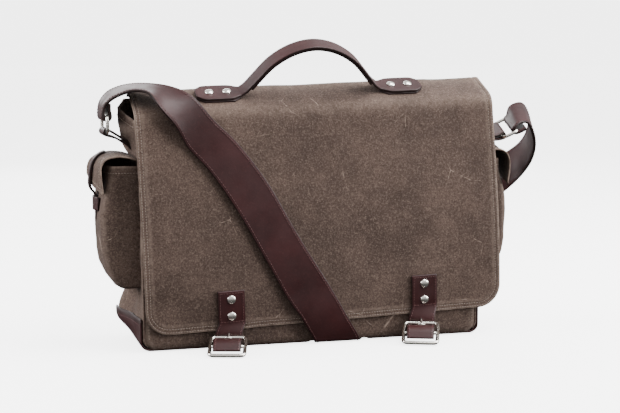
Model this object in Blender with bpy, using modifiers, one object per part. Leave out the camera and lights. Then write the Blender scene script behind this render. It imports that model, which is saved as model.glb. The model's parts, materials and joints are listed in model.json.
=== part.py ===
"""Canvas satchel bag with leather straps, modelled as its separate sewn, riveted and buckled pieces.

+Z is up, -Y is the front and X runs along the width. The origin is on the floor, under the
middle of the leather base. Lengths are in millimetres here and become metres when a mesh is made.
"""

import math

import bmesh
import bpy
import numpy as np
from mathutils import Matrix, Vector

MM = 0.001
GAP = 0.35

# Body
BODY_HALF_WIDTH = 205.0
BODY_CORNER = 22.0
PANEL_BOTTOM = 6.0
PANEL_THICKNESS = 2.0
FRONT_FACE = [(-53.4, 6), (-55.0, 55), (-54.5, 110), (-49.0, 190), (-42.0, 266)]
BACK_FACE = [(53.4, 6), (54.0, 60), (51.0, 120), (44.0, 190), (32.0, 250), (16.0, 293)]
GUSSET_FRONT_TOP = 262.0
GUSSET_BACK_TOP = 278.0

# Base
BASE_THICKNESS = 8.0
BASE_HALF_DEPTH = 50.9
BASE_WRAP_TOP = 38.0
BASE_WRAP_THICKNESS = 2.2
BASE_OUTER_HALF = 207.6
STRAP_CHANNEL_DEPTH = 4.7

# Flap, in its own frame, which is then turned a little about Y
FLAP_TILT = math.radians(2.0)
FLAP_OFFSET_X = 11.0
FLAP_PIVOT_Z = 160.0
FLAP_HALF_WIDTH = 217.0
FLAP_CORNER = 28.0
HEM_CORNER_SHARE = 0.92
FLAP_THICKNESS = 1.6
LINING_THICKNESS = 1.0
FLAP_RIDGE = [(14.0, 299.5), (10.0, 302.6), (5.0, 304.6), (-1.0, 304.0)]
SLOPE_TOP = (-1.0, 304.0)
SLOPE_END = (-36.0, 287.0)
FLAP_SHOULDER = [SLOPE_END, (-42.5, 282.2), (-46.2, 275.0), (-47.6, 266.0)]
FLAP_FRONT = [
    (-47.6, 266.0), (-50.2, 243.0), (-53.6, 210.0), (-57.2, 170.0),
    (-60.0, 130.0), (-61.0, 95.0), (-60.2, 55.0), (-57.8, 27.0),
]

# Rivets
SHANK_RADIUS = 2.0
RIVET_HEAD_RADIUS = 5.0
RIVET_HEAD_HEIGHT = 2.2
RIVET_TAIL_RADIUS = 4.0

# Closure tabs and their buckles
TAB_X = 118.0
TAB_TOP = 73.5
TAB_HALF_WIDTH = 16.0
TAB_THICKNESS = 3.0
TAB_RIVETS = (63.5, 44.0)
EYELET_RADIUS = 5.3
EYELET_HOLE = 3.5
EYELET_ALONG = 11.3
EYELET_LEAN = math.radians(-40.5)
WIRE = 2.0
BAR_SPACING = 20.0
PRONG_RADIUS = 1.5
PRONG_HEIGHT = WIRE + GAP - 0.05 + PRONG_RADIUS
ANCHOR_THICKNESS = 2.0
ANCHOR_HALF_WIDTH = 15.0

# Each buckle's side, middle, turn about Z and slope, in degrees
BUCKLES = {
    "left": (-1, (-112.8, -85.5, 9.3), 16.0, 18.0),
    "right": (1, (121.0, -84.3, 11.8), 22.0, 24.0),
}

# The closure tab's way through its buckle, as (along, above) the buckle's plane
TAB_IN_BUCKLE = [
    (25.4, 3.4), (24.3, -2.4), (20.4, -4.6), (15.5, -2.9), (10.5, 1.4),
    (5.5, 5.6), (0.0, 7.6), (-6.0, 7.2), (-11.0, 5.0), (-15.0, 3.0),
]

# Handle, in the flap's frame
HANDLE_X = -4.0
PLATE_X = 111.0
PLATE_HALF_LENGTH = 26.5
PLATE_HALF_WIDTH = 17.0
PLATE_CHAMFER = 9.0
HANDLE_RIVET_SPACING = 10.5
GRIP_HALF_WIDTH = 11.0
GRIP_THICKNESS = 2.4
PLATE_THICKNESS = 2.0

# Shoulder strap, its rings and its adjuster
STRAP_HALF_WIDTH = 24.0
STRAP_THICKNESS = 3.5
RING_HALF_LENGTH = 27.0
RING_HALF_GAP = 9.0
RING_TAB_HALF_WIDTH = 22.5
RING_TAB_THICKNESS = 2.5
STRAP_TURN_Y = 57.0
STRAP_FRONT_X = 25.0
STRAP_BACK_X = 92.0
STRAP_UNDER_Z = 2.4
BACK_RUN_SLOPE = 0.70
ADJUSTER_Z = 75.0
ADJUSTER_LIFT = 10.9
ADJUSTER_HALF_WIDTH = 28.0
STRAP_LIFT = STRAP_THICKNESS / 2 + 0.85

# Edge points (front edge, back edge) of the long strap, from the left ring over the flap's corner
LEFT_ARCH = [
    ((-240.5, -24, 281), (-240.5, 24, 284)),
    ((-233.0, -27, 289), (-233.0, 21, 295)),
    ((-222.0, -31, 295), (-223.0, 16, 301)),
    ((-208.0, -38, 299), (-208.0, 9, 305)),
    ((-193.5, -48, 296), (-188.0, -3, 306)),
    ((-183.0, -56.0, 281), (-164.0, -20, 303)),
    ((-167.0, -57.5, 262), (-141.0, -42.5, 291)),
]
# Edge points of the short strap, from the right ring out and round to the bag's back
RIGHT_LOOP = [
    ((271.0, -22.5, 254.5), (276.5, 22.5, 273.5)),
    ((283.0, -19, 255), (293.0, 24, 278)),
    ((293.0, -14, 242), (305.0, 29, 263)),
    ((300.5, -4, 225), (309.0, 36, 247)),
    ((302.0, 9, 206), (305.0, 47, 229)),
    ((297.5, 24, 188), (294.0, 58, 216)),
    ((284.0, 38, 168), (270.0, 64, 202)),
    ((261.0, 50, 147), (239.0, 66, 187)),
    ((233.0, 57, 127), (207.0, 64, 166)),
]
LEFT_RING_STRAP_BAR = (-238.0, 0.0, 269.5)
RIGHT_RING_STRAP_BAR = (270.9, 0.0, 252.5)
RIGHT_BAR_DIRECTION = (0.165, 0.952, 0.258)
# The long strap's way through the adjuster, as (along, above) its plane
LONG_END_IN_ADJUSTER = [
    (50.0, -8.5), (32.0, -6.6), (25.0, -5.0), (20.0, -4.4), (15.0, -2.2), (10.0, 2.4),
    (5.0, 6.8), (0.0, 8.6), (-6.0, 8.4), (-12.0, 6.9), (-16.0, 5.7),
]

# Side pockets
POCKET_DEPTH = 40.5
POCKET_FRONT = -40.0
POCKET_BACK = 36.0
POCKET_BOTTOM = 74.0
POCKET_TOP = 216.0
POCKET_TAB_HALF_WIDTH = 7.0


# ---------------------------------------------------------------- small tools

def clear_scene():
    for obj in list(bpy.data.objects):
        bpy.data.objects.remove(obj, do_unlink=True)


def new_collection(name):
    group = bpy.data.collections.new(name)
    bpy.context.scene.collection.children.link(group)
    return group


def material(name, colour, roughness, metallic=0.0):
    made = bpy.data.materials.new(name)
    made.use_nodes = True
    shader = made.node_tree.nodes["Principled BSDF"]
    shader.inputs["Base Color"].default_value = (*colour, 1.0)
    shader.inputs["Roughness"].default_value = roughness
    shader.inputs["Metallic"].default_value = metallic
    return made


def add_object(name, mesh, look, place=None):
    obj = bpy.data.objects.new(name, mesh)
    PARTS.objects.link(obj)
    own = look.copy()
    own.name = name
    mesh.materials.clear()
    mesh.materials.append(own)
    if place is not None:
        obj.matrix_world = place
    return obj


def as_cutter(obj, group=None):
    for old in list(obj.users_collection):
        old.objects.unlink(obj)
    (group or CUTTERS).objects.link(obj)
    obj.hide_render = True
    obj.display_type = "WIRE"
    return obj


def smooth(points, steps=4):
    """A centripetal Catmull-Rom curve through points, whose first coordinates are their place."""
    p = np.array(points, float)
    padded = np.vstack([2 * p[0] - p[1], p, 2 * p[-1] - p[-2]])
    found = []
    for a, b, c, d in zip(padded, padded[1:], padded[2:], padded[3:]):
        knots = [0.0]
        for start, end in ((a, b), (b, c), (c, d)):
            knots.append(knots[-1] + math.sqrt(np.linalg.norm((end - start)[:3])))
        into = (b - a) / knots[1] - (c - a) / knots[2] + (c - b) / (knots[2] - knots[1])
        out = (c - b) / (knots[2] - knots[1]) - (d - b) / (knots[3] - knots[1])
        out += (d - c) / (knots[3] - knots[2])
        into, out = into * (knots[2] - knots[1]), out * (knots[2] - knots[1])
        for t in np.arange(steps) / steps:
            found.append(
                b + into * t + (3 * (c - b) - 2 * into - out) * t**2 + (2 * (b - c) + into + out) * t**3
            )
    found.append(p[-1])
    return np.array(found)


def unit(vector):
    vector = np.array(vector, float)
    return vector / np.linalg.norm(vector)


def sheet(name, rows, thickness, look):
    """A sheet of even thickness whose middle surface goes through these rows of points."""
    height, width = len(rows), len(rows[0])
    mesh = bpy.data.meshes.new(name)
    points = [Vector(point) * MM for row in rows for point in row]
    faces = [
        (r * width + c, r * width + c + 1, (r + 1) * width + c + 1, (r + 1) * width + c)
        for r in range(height - 1)
        for c in range(width - 1)
    ]
    mesh.from_pydata(points, [], faces)
    mesh.validate()
    mesh.shade_smooth()
    obj = add_object(name, mesh, look)
    thick = obj.modifiers.new("thickness", "SOLIDIFY")
    thick.thickness = thickness * MM
    thick.offset = 0.0
    thick.use_even_offset = True
    return obj


def ribbon(name, stations, thickness, look, steps=4):
    """A strap through stations, each (middle x, y, z, direction across x, y, z, half width)."""
    rows = []
    placed = [np.hstack((middle, unit(across), half)) for middle, across, half in stations]
    for station in smooth(placed, steps):
        across = unit(station[3:6]) * station[6]
        rows.append((station[:3] - across, station[:3] + across))
    return sheet(name, rows, thickness, look)


def tube(name, points, radius, look, cyclic=False, place=None):
    """A round wire along points, as a closed mesh."""
    curve = bpy.data.curves.new(name, "CURVE")
    curve.dimensions = "3D"
    curve.bevel_depth = radius * MM
    curve.bevel_resolution = 2
    curve.use_fill_caps = not cyclic
    line = curve.splines.new("POLY")
    line.points.add(len(points) - 1)
    for target, point in zip(line.points, points):
        target.co = (*(Vector(point) * MM), 1.0)
    line.use_cyclic_u = cyclic
    return from_curve(name, curve, look, place)


def from_curve(name, curve, look, place=None):
    holder = bpy.data.objects.new(name + "_curve", curve)
    CUTTERS.objects.link(holder)
    bpy.context.view_layer.update()
    mesh = bpy.data.meshes.new_from_object(holder.evaluated_get(bpy.context.evaluated_depsgraph_get()))
    bpy.data.objects.remove(holder)
    shape = bmesh.new()
    shape.from_mesh(mesh)
    bmesh.ops.remove_doubles(shape, verts=shape.verts, dist=0.01 * MM)
    bmesh.ops.recalc_face_normals(shape, faces=shape.faces)
    shape.to_mesh(mesh)
    shape.free()
    mesh.shade_smooth()
    mesh.set_sharp_from_angle(angle=math.radians(50))
    return add_object(name, mesh, look, place)


def turned(name, profile, look, place, steps=16):
    """A solid turned about its own Z axis from an (radius, height) profile that runs from top to bottom."""
    mesh = bpy.data.meshes.new(name)
    points = [Vector((radius, 0.0, height)) * MM for radius, height in profile]
    mesh.from_pydata(points, [(i, i + 1) for i in range(len(points) - 1)], [])
    obj = add_object(name, mesh, look, place)
    screw = obj.modifiers.new("turn", "SCREW")
    screw.steps = screw.render_steps = steps
    screw.use_merge_vertices = True
    screw.merge_threshold = 0.02 * MM
    screw.use_smooth_shade = True
    return obj


def rod(name, radius, start, end, look, sides=12):
    """A round rod between two points."""
    start, end = Vector(start) * MM, Vector(end) * MM
    mesh = bpy.data.meshes.new(name)
    shape = bmesh.new()
    length = (end - start).length
    bmesh.ops.create_cone(
        shape, cap_ends=True, segments=sides, radius1=radius * MM, radius2=radius * MM, depth=length
    )
    shape.to_mesh(mesh)
    shape.free()
    turn = (end - start).to_track_quat("Z", "Y").to_matrix().to_4x4()
    return add_object(name, mesh, look, Matrix.Translation((start + end) / 2) @ turn)


def block(name, low, high, look, place=None):
    """A box between two corners, in the frame of place."""
    mesh = bpy.data.meshes.new(name)
    shape = bmesh.new()
    bmesh.ops.create_cube(shape, size=1.0)
    low, high = Vector(low) * MM, Vector(high) * MM
    for point in shape.verts:
        point.co = Vector((low[i] if point.co[i] < 0 else high[i]) for i in range(3))
    shape.to_mesh(mesh)
    shape.free()
    return add_object(name, mesh, look, place)


def boolean(obj, other, operation="DIFFERENCE"):
    step = obj.modifiers.new(other.name, "BOOLEAN")
    step.operation = operation
    step.solver = "EXACT"
    if isinstance(other, bpy.types.Collection):
        step.operand_type = "COLLECTION"
        step.collection = other
    else:
        step.object = other


def frame_of(origin, across, along):
    """A placement whose x, y and z axes are across, along and their normal, with its origin in millimetres."""
    x = Vector(unit(across))
    y = Vector(unit(along))
    z = x.cross(y).normalized()
    turn = Matrix((x, z.cross(x), z)).transposed().to_4x4()
    return Matrix.Translation(Vector(origin) * MM) @ turn


def at(place, point):
    """A local point in millimetres, in world millimetres."""
    return np.array(place @ (Vector(point) * MM)) / MM


def empty(name, place):
    marker = bpy.data.objects.new(name, None)
    PARTS.objects.link(marker)
    marker.empty_display_size = 0.02
    marker.matrix_world = place
    return marker


def hang_on(marker, pieces):
    """Parents pieces to a hinge empty without moving them."""
    bpy.context.view_layer.update()
    for piece in pieces:
        world = piece.matrix_world.copy()
        piece.parent = marker
        piece.matrix_parent_inverse = marker.matrix_world.inverted()
        piece.matrix_world = world


# ---------------------------------------------------------------- body

def face_y(profile, z):
    heights = [height for _, height in profile]
    return float(np.interp(z, heights, [depth for depth, _ in profile]))


def body_half_width(z):
    """Half the width of the front and back panels, whose lower corners are round."""
    if z >= PANEL_BOTTOM + BODY_CORNER:
        return BODY_HALF_WIDTH
    rise = PANEL_BOTTOM + BODY_CORNER - z
    return BODY_HALF_WIDTH - BODY_CORNER + math.sqrt(BODY_CORNER**2 - rise**2)


def heights_from(bottom, top, corner):
    """Heights that are close together in the round corner."""
    arc = [bottom + corner * (1 - math.cos(math.radians(a))) for a in range(0, 90, 15)]
    return arc + list(np.linspace(bottom + corner, top, 9))


def build_panel(name, profile, top_of, side, look):
    """The front or back panel. side is -1 for the front and +1 for the back."""
    rows = []
    columns = np.linspace(-1, 1, 5)
    for level in heights_from(PANEL_BOTTOM, profile[-1][1], BODY_CORNER):
        share = (level - PANEL_BOTTOM) / (profile[-1][1] - PANEL_BOTTOM)
        row = []
        for column in columns:
            x = column * body_half_width(level)
            z = level + share**2 * (top_of(x) - profile[-1][1])
            row.append((x, face_y(profile, level) - side * PANEL_THICKNESS / 2, z))
        rows.append(row)
    return sheet(name, rows, PANEL_THICKNESS, look)


def back_top(x):
    """The back panel's top edge follows the tilted flap."""
    return BACK_FACE[-1][1] + x * math.tan(FLAP_TILT)


def back_face_y(x, z):
    """The back panel's outer face, whose heights are stretched a little towards the tilted top edge."""
    share = (z - PANEL_BOTTOM) / (BACK_FACE[-1][1] - PANEL_BOTTOM)
    return face_y(BACK_FACE, z - share**2 * x * math.tan(FLAP_TILT))


def build_gusset(name, side, look):
    """A side wall between the front and back panels, which turns in over the base at the bottom."""
    inner_radius = BODY_CORNER - BASE_WRAP_THICKNESS - GAP - PANEL_THICKNESS / 2
    corner_x = BASE_OUTER_HALF - BODY_CORNER
    path = [
        (corner_x + inner_radius * math.cos(a), BODY_CORNER - inner_radius * math.sin(a))
        for a in np.radians((40, 30, 20, 10, 0))
    ]
    path += [(corner_x + inner_radius, z) for z in (60, 110, 150, 190, 230)]
    inset = PANEL_THICKNESS + GAP + 0.2
    rows = []
    for x, z in path:
        front = face_y(FRONT_FACE, z) + inset
        back = back_face_y(side * x, z) - inset
        rows.append([(side * x, front + t * (back - front), z) for t in (0, 0.5, 1)])
    top = path[-1][0]
    front = face_y(FRONT_FACE, GUSSET_FRONT_TOP) + inset
    back = back_face_y(side * top, GUSSET_BACK_TOP) - inset
    rows.append([
        (side * top, front + t * (back - front), GUSSET_FRONT_TOP + t * (GUSSET_BACK_TOP - GUSSET_FRONT_TOP))
        for t in (0, 0.5, 1)
    ])
    return sheet(name, rows, PANEL_THICKNESS, look)


def base_outline():
    """The base's section in X and Z: a flat floor with thin ends that turn up round the gussets."""
    centre = BASE_OUTER_HALF - BODY_CORNER
    thin = BODY_CORNER - BASE_WRAP_THICKNESS
    low_angle = math.asin((BODY_CORNER - BASE_THICKNESS) / thin)
    outer = [
        (centre + BODY_CORNER * math.sin(a), BODY_CORNER * (1 - math.cos(a)))
        for a in np.radians(np.linspace(0, 90, 7))
    ]
    inner = [
        (centre + thin * math.cos(a), BODY_CORNER - thin * math.sin(a)) for a in np.linspace(0, low_angle, 5)
    ]
    right = outer + [(BASE_OUTER_HALF, BASE_WRAP_TOP), (centre + thin, BASE_WRAP_TOP)] + inner
    return right + [(-x, z) for x, z in reversed(right)]


def build_base(look):
    curve = bpy.data.curves.new("base_panel", "CURVE")
    curve.dimensions = "2D"
    curve.fill_mode = "BOTH"
    curve.extrude = BASE_HALF_DEPTH * MM
    outline = base_outline()
    line = curve.splines.new("POLY")
    line.points.add(len(outline) - 1)
    for target, (x, z) in zip(line.points, outline):
        target.co = (x * MM, z * MM, 0.0, 1.0)
    line.use_cyclic_u = True
    base = from_curve("base_panel", curve, look, Matrix.Rotation(math.radians(90), 4, "X"))
    middle = (STRAP_FRONT_X + STRAP_BACK_X) / 2
    run = math.atan2(2 * STRAP_TURN_Y, STRAP_BACK_X - STRAP_FRONT_X)
    place = Matrix.Translation((middle * MM, 0, 0)) @ Matrix.Rotation(run, 4, "Z")
    channel = as_cutter(
        block(
            "strap_channel", (-110, -STRAP_HALF_WIDTH - 3, -5),
            (110, STRAP_HALF_WIDTH + 3, STRAP_CHANNEL_DEPTH), look, place,
        )
    )
    boolean(base, channel)
    return base


def build_body():
    build_panel("front_panel", FRONT_FACE, lambda x: FRONT_FACE[-1][1], -1, CANVAS)
    build_panel("back_panel", BACK_FACE, back_top, 1, CANVAS)
    build_gusset("left_gusset", -1, CANVAS)
    build_gusset("right_gusset", 1, CANVAS)
    build_base(LEATHER)
    block(
        "base_stiffener",
        (-192, -BASE_HALF_DEPTH + 3, BASE_THICKNESS + GAP),
        (192, BASE_HALF_DEPTH - 3, BASE_THICKNESS + GAP + 2.0),
        BOARD,
    )
    rows = []
    for z in np.linspace(114, 228, 7):
        rows.append([(x, back_face_y(x, z) - PANEL_THICKNESS - 1.3, z) for x in (-110, 0, 110)])
    sheet("inner_slip_pocket", rows, 1.4, LINING)


# ---------------------------------------------------------------- flap

def tilted(x, y, z):
    """A point of the flap's own frame, in the world."""
    c, s = math.cos(FLAP_TILT), math.sin(FLAP_TILT)
    rise = z - FLAP_PIVOT_Z
    return np.array((FLAP_OFFSET_X + x * c - rise * s, y, FLAP_PIVOT_Z + x * s + rise * c))


TILT_ACROSS = np.array((math.cos(FLAP_TILT), 0.0, math.sin(FLAP_TILT)))


def flap_profile():
    """The flap's outer layer in Y and Z, from its hinge seam over the ridge and down the front."""
    ridge = smooth(FLAP_RIDGE, 2)
    slope = np.linspace(SLOPE_TOP, SLOPE_END, 3)[1:]
    shoulder = smooth(FLAP_SHOULDER, 3)[1:]
    front = smooth(FLAP_FRONT, 2)[1:-1]
    drop = np.array(FLAP_FRONT[-1]) - front[-1]
    hem = [front[-1] + drop * t for t in (0.5, 0.75, 1.0)]
    return np.vstack([ridge, slope, shoulder, front, hem])


def shifted(profile, distance):
    """A profile moved to the inner side by a distance."""
    run = np.gradient(profile, axis=0)
    run /= np.linalg.norm(run, axis=1)[:, None]
    return profile + np.column_stack([-run[:, 1], run[:, 0]]) * distance


def flap_front_y(z):
    """The depth of the flap's outer layer at a height in the flap's frame."""
    front = np.array(FLAP_SHOULDER[1:] + FLAP_FRONT[1:])[::-1]
    curve = smooth(front, 4)
    return float(np.interp(z, curve[:, 1], curve[:, 0]))


def build_flap_layer(name, inset, half_width, thickness, look):
    profile = shifted(flap_profile(), inset)
    hem = profile[-1][1]
    rows = []
    for y, z in profile:
        up = min(z - hem, FLAP_CORNER) if y < -40 else FLAP_CORNER
        side = FLAP_CORNER - math.sqrt(FLAP_CORNER**2 - (FLAP_CORNER - up) ** 2)
        half = half_width - side * HEM_CORNER_SHARE
        rows.append([tilted(x, y, z) for x in (-half, 0, half)])
    return sheet(name, rows, thickness, look)


def rivet(name, place, stack, look):
    """A domed rivet: the head above the outer leather, the shank through the layers and the burr under them."""
    dome = [
        (RIVET_HEAD_RADIUS * math.sin(a), GAP + RIVET_HEAD_HEIGHT * math.cos(a))
        for a in np.radians((0, 25, 50, 75, 90))
    ]
    low = -stack - GAP
    profile = dome + [
        (SHANK_RADIUS, GAP), (SHANK_RADIUS, low), (RIVET_TAIL_RADIUS, low), (RIVET_TAIL_RADIUS, low - 1.0),
        (0.0, low - 1.0),
    ]
    return turned(name, profile, look, place, 12)


def rivet_hole(name, place, look):
    hole = rod(name, SHANK_RADIUS + 0.35, (0, 0, -12), (0, 0, 6), look)
    hole.matrix_world = place @ hole.matrix_world
    as_cutter(hole, RIVET_HOLES)


def slope_frame(x, lift):
    """A placement on the flap's top slope: x along the width, y up the slope, z out of it."""
    down = unit((0, SLOPE_END[0] - SLOPE_TOP[0], SLOPE_END[1] - SLOPE_TOP[1]))
    out = np.array((0.0, down[2], -down[1]))
    middle = (np.array((0.0, *SLOPE_TOP)) + np.array((0.0, *SLOPE_END))) / 2
    point = middle + np.array((x, 0.0, 0.0)) + out * lift
    origin = tilted(*point)
    up = tilted(*(point - down)) - origin
    return frame_of(origin, TILT_ACROSS, up)


def tab_frame(side, z, lift):
    """A placement on the front of the flap: x along the width, y up the flap, z out of it."""
    y = flap_front_y(z)
    slope = (flap_front_y(z + 5) - flap_front_y(z - 5)) / 10
    up = unit((0.0, slope, 1.0))
    out = np.array((0.0, -up[2], up[1]))
    point = np.array((side * TAB_X, y, z)) + out * lift
    origin = tilted(*point)
    return frame_of(origin, TILT_ACROSS, tilted(*(point + up)) - origin)


def build_flap():
    outer = build_flap_layer("flap_outer", 0.0, FLAP_HALF_WIDTH, FLAP_THICKNESS, CANVAS)
    inset = FLAP_THICKNESS / 2 + GAP + LINING_THICKNESS / 2
    lining = build_flap_layer("flap_lining", inset, FLAP_HALF_WIDTH - 3, LINING_THICKNESS, LINING)
    boolean(outer, RIVET_HOLES)
    boolean(lining, RIVET_HOLES)
    return [outer, lining]


def octagon(half_length, half_width, chamfer):
    """Stations (x, half width) along an octagonal plate."""
    return [
        (-half_length, half_width - chamfer), (-half_length + chamfer, half_width),
        (half_length - chamfer, half_width), (half_length, half_width - chamfer),
    ]


def build_plate(name, x, height, half_length, half_width, look):
    place = slope_frame(x, height)
    rows = [
        (at(place, (along, -half, 0)), at(place, (along, half, 0)))
        for along, half in octagon(half_length, half_width, PLATE_CHAMFER)
    ]
    plate = sheet(name, rows, PLATE_THICKNESS, look)
    boolean(plate, RIVET_HOLES)
    return plate


def grip_path(drop):
    """The grip's arch in x and height above the slope, moved towards its inner side by drop."""
    half = [(-84.5, 0.4), (-78, 5.5), (-68, 17.5), (-50, 38), (-26, 53), (0, 58.5)]
    path = smooth(half + [(-x, h) for x, h in reversed(half[:-1])], 3)
    run = np.gradient(path, axis=0)
    run /= np.linalg.norm(run, axis=1)[:, None]
    return path + np.column_stack([run[:, 1], -run[:, 0]]) * drop


def build_handle():
    plate_lift = FLAP_THICKNESS / 2 + GAP + PLATE_THICKNESS / 2
    strap_lift = plate_lift + PLATE_THICKNESS / 2 + GAP + GRIP_THICKNESS / 2
    place = slope_frame(HANDLE_X, strap_lift)
    ends = octagon(PLATE_HALF_LENGTH, PLATE_HALF_WIDTH, PLATE_CHAMFER)
    ends = ends[:3] + [(PLATE_HALF_LENGTH, GRIP_HALF_WIDTH)]
    left = [(x - PLATE_X, 0.0, half) for x, half in ends]
    grip = [(x, height, GRIP_HALF_WIDTH) for x, height in grip_path(0.0)[1:-1]]
    line = left + grip + [(-x, height, half) for x, height, half in reversed(left)]
    rows = [(at(place, (x, -half, height)), at(place, (x, half, height))) for x, height, half in line]
    strap = sheet("handle_strap", rows, GRIP_THICKNESS, LEATHER)
    boolean(strap, RIVET_HOLES)
    drop = GRIP_THICKNESS / 2 + GAP + 1.0
    rows = [
        (at(place, (x, -GRIP_HALF_WIDTH + 0.5, h)), at(place, (x, GRIP_HALF_WIDTH - 0.5, h)))
        for x, h in grip_path(drop)[2:-2]
    ]
    pieces = [strap, sheet("handle_grip_lining", rows, 2.0, LEATHER)]
    under = -FLAP_THICKNESS / 2 - GAP - LINING_THICKNESS - GAP - PLATE_THICKNESS / 2
    stack = strap_lift + GRIP_THICKNESS / 2 - under + PLATE_THICKNESS / 2
    for side, label in ((-1, "left"), (1, "right")):
        x = HANDLE_X + side * PLATE_X
        outer = (PLATE_HALF_LENGTH, PLATE_HALF_WIDTH)
        pieces.append(build_plate(f"{label}_handle_plate", x, plate_lift, *outer, LEATHER))
        pieces.append(build_plate(f"{label}_handle_backing_plate", x, under, 23.0, 13.5, LEATHER))
        for offset, end in ((-HANDLE_RIVET_SPACING, "a"), (HANDLE_RIVET_SPACING, "b")):
            spot = slope_frame(x + offset, strap_lift + GRIP_THICKNESS / 2)
            rivet_hole(f"{label}_handle_hole_{end}", spot, NICKEL)
            pieces.append(rivet(f"{label}_handle_rivet_{end}", spot, stack, NICKEL))
    return pieces


# ---------------------------------------------------------------- buckles

def rounded_rectangle(half_x, half_y, corner):
    points = []
    for quarter, (sx, sy) in enumerate(((1, 1), (-1, 1), (-1, -1), (1, -1))):
        for step in range(4):
            a = math.radians(90 * quarter + 30 * step)
            across = sx * (half_x - corner) + corner * math.cos(a)
            points.append((across, sy * (half_y - corner) + corner * math.sin(a), 0.0))
    return points


def build_buckle_frame(name, place, half_width):
    """A rectangular wire frame with a bar across its middle."""
    ring = tube(name, rounded_rectangle(half_width, BAR_SPACING, 6.0), WIRE, NICKEL, True, place)
    bar = rod(name + "_bar", WIRE - 0.1, (-half_width, 0, 0), (half_width, 0, 0), NICKEL)
    bar.matrix_world = place @ bar.matrix_world
    boolean(ring, as_cutter(bar), "UNION")
    return ring


def build_prong(name, place):
    """The tongue hooks round the middle bar and lies on the top bar."""
    hook = [
        (0.0, PRONG_HEIGHT * math.cos(a), PRONG_HEIGHT * math.sin(a))
        for a in np.radians((270, 240, 210, 180, 150, 120, 90))
    ]
    path = hook + [(0.0, 6.0, PRONG_HEIGHT), (0.0, 14.0, PRONG_HEIGHT), (0.0, BAR_SPACING + 2.5, PRONG_HEIGHT)]
    return tube(name, path, PRONG_RADIUS, NICKEL, False, place)


def prong_passage(name, place):
    """The slot that the tongue goes through in a leather end."""
    start = at(place, (0, -1.0, PRONG_HEIGHT))
    end = at(place, (0, BAR_SPACING + 8, PRONG_HEIGHT))
    return as_cutter(rod(name, PRONG_RADIUS + 0.55, start, end, NICKEL))


def in_buckle(place, route, half_width):
    """Stations of a strap end in the buckle's frame, from (along, above) pairs."""
    across = at(place, (1, 0, 0)) - at(place, (0, 0, 0))
    return [(at(place, (0, along, above)), across, half_width) for along, above in route]


def closure_tab_stations(side, place):
    """Down the flap's front, then behind the buckle's top bar and over its middle bar."""
    lift = FLAP_THICKNESS / 2 + GAP + 0.25 + TAB_THICKNESS / 2
    stations = [
        (at(tab_frame(side, z, lift), (0, 0, 0)), TILT_ACROSS, TAB_HALF_WIDTH)
        for z in (TAB_TOP, 64.0, 54.0, 44.0, 35.0)
    ]
    threaded = in_buckle(place, TAB_IN_BUCKLE, TAB_HALF_WIDTH)
    first = threaded[0]
    threaded[0] = (first[0], unit(np.array(first[1]) + TILT_ACROSS), TAB_HALF_WIDTH)
    return stations + threaded


def anchor_stations(place):
    """From under the middle bar, round it and back to the lower edge of the front panel."""
    wrap = WIRE + GAP + ANCHOR_THICKNESS / 2
    route = [(16.0, -9.5), (11.0, -7.4), (5.5, -5.0)]
    route += [(wrap * math.cos(a), wrap * math.sin(a)) for a in np.radians((270, 225, 180, 135, 90))]
    route += [(4.5, 1.9), (10.0, -3.4), (15.0, -6.2), (20.0, -8.2)]
    stations = in_buckle(place, route, ANCHOR_HALF_WIDTH)
    across = (1.0, 0.0, 0.0)
    x = stations[-1][0][0]
    for z in (11.0, 14.0):
        y = face_y(FRONT_FACE, z) - GAP - ANCHOR_THICKNESS / 2 - 0.4
        stations.append((np.array((x, y, z)), across, ANCHOR_HALF_WIDTH))
    return stations


def buckle_place(origin, yaw, pitch):
    yaw, pitch = math.radians(yaw), math.radians(pitch)
    along = (math.sin(yaw) * math.cos(pitch), math.cos(yaw) * math.cos(pitch), math.sin(pitch))
    return frame_of(origin, (math.cos(yaw), -math.sin(yaw), 0.0), along)


def build_closure(label):
    side, origin, yaw, pitch = BUCKLES[label]
    place = buckle_place(origin, yaw, pitch)
    frame = build_buckle_frame(f"{label}_buckle_frame", place, BAR_SPACING)
    prong = build_prong(f"{label}_buckle_prong", place)
    tab = ribbon(f"{label}_closure_tab", closure_tab_stations(side, place), TAB_THICKNESS, LEATHER, 3)
    boolean(tab, RIVET_HOLES)
    boolean(tab, prong_passage(f"{label}_tab_slot", place))
    anchor = ribbon(f"{label}_buckle_anchor", anchor_stations(place), ANCHOR_THICKNESS, LEATHER, 3)
    slot = as_cutter(block(f"{label}_anchor_slot", (-2.3, -6.5, -8.0), (2.3, 10.0, 9.0), LEATHER, place))
    boolean(anchor, slot)
    eyelet_spot = place @ Matrix.Translation(Vector((0, EYELET_ALONG, PRONG_HEIGHT + 0.15)) * MM)
    eyelet_spot = eyelet_spot @ Matrix.Rotation(EYELET_LEAN, 4, "X")
    ring = [
        (EYELET_HOLE, 0.6), (EYELET_RADIUS, 0.6), (EYELET_RADIUS, -0.4), (EYELET_HOLE, -0.4), (EYELET_HOLE, 0.6)
    ]
    eyelet = turned(f"{label}_tab_eyelet", ring, NICKEL, eyelet_spot)
    lift = FLAP_THICKNESS / 2 + GAP + 0.25 + TAB_THICKNESS
    stack = lift + FLAP_THICKNESS / 2 + GAP + LINING_THICKNESS
    pieces = [tab, eyelet]
    for z, end in zip(TAB_RIVETS, ("upper", "lower")):
        spot = tab_frame(side, z, lift)
        rivet_hole(f"{label}_tab_hole_{end}", spot, NICKEL)
        pieces.append(rivet(f"{label}_tab_rivet_{end}", spot, stack, NICKEL))
    hinge = empty(f"{label}_buckle_hinge", place)
    hang_on(hinge, [frame])
    prong_hinge = empty(f"{label}_prong_hinge", place)
    hang_on(prong_hinge, [prong])
    hang_on(hinge, [prong_hinge])
    return pieces


# ---------------------------------------------------------------- shoulder strap


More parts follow.
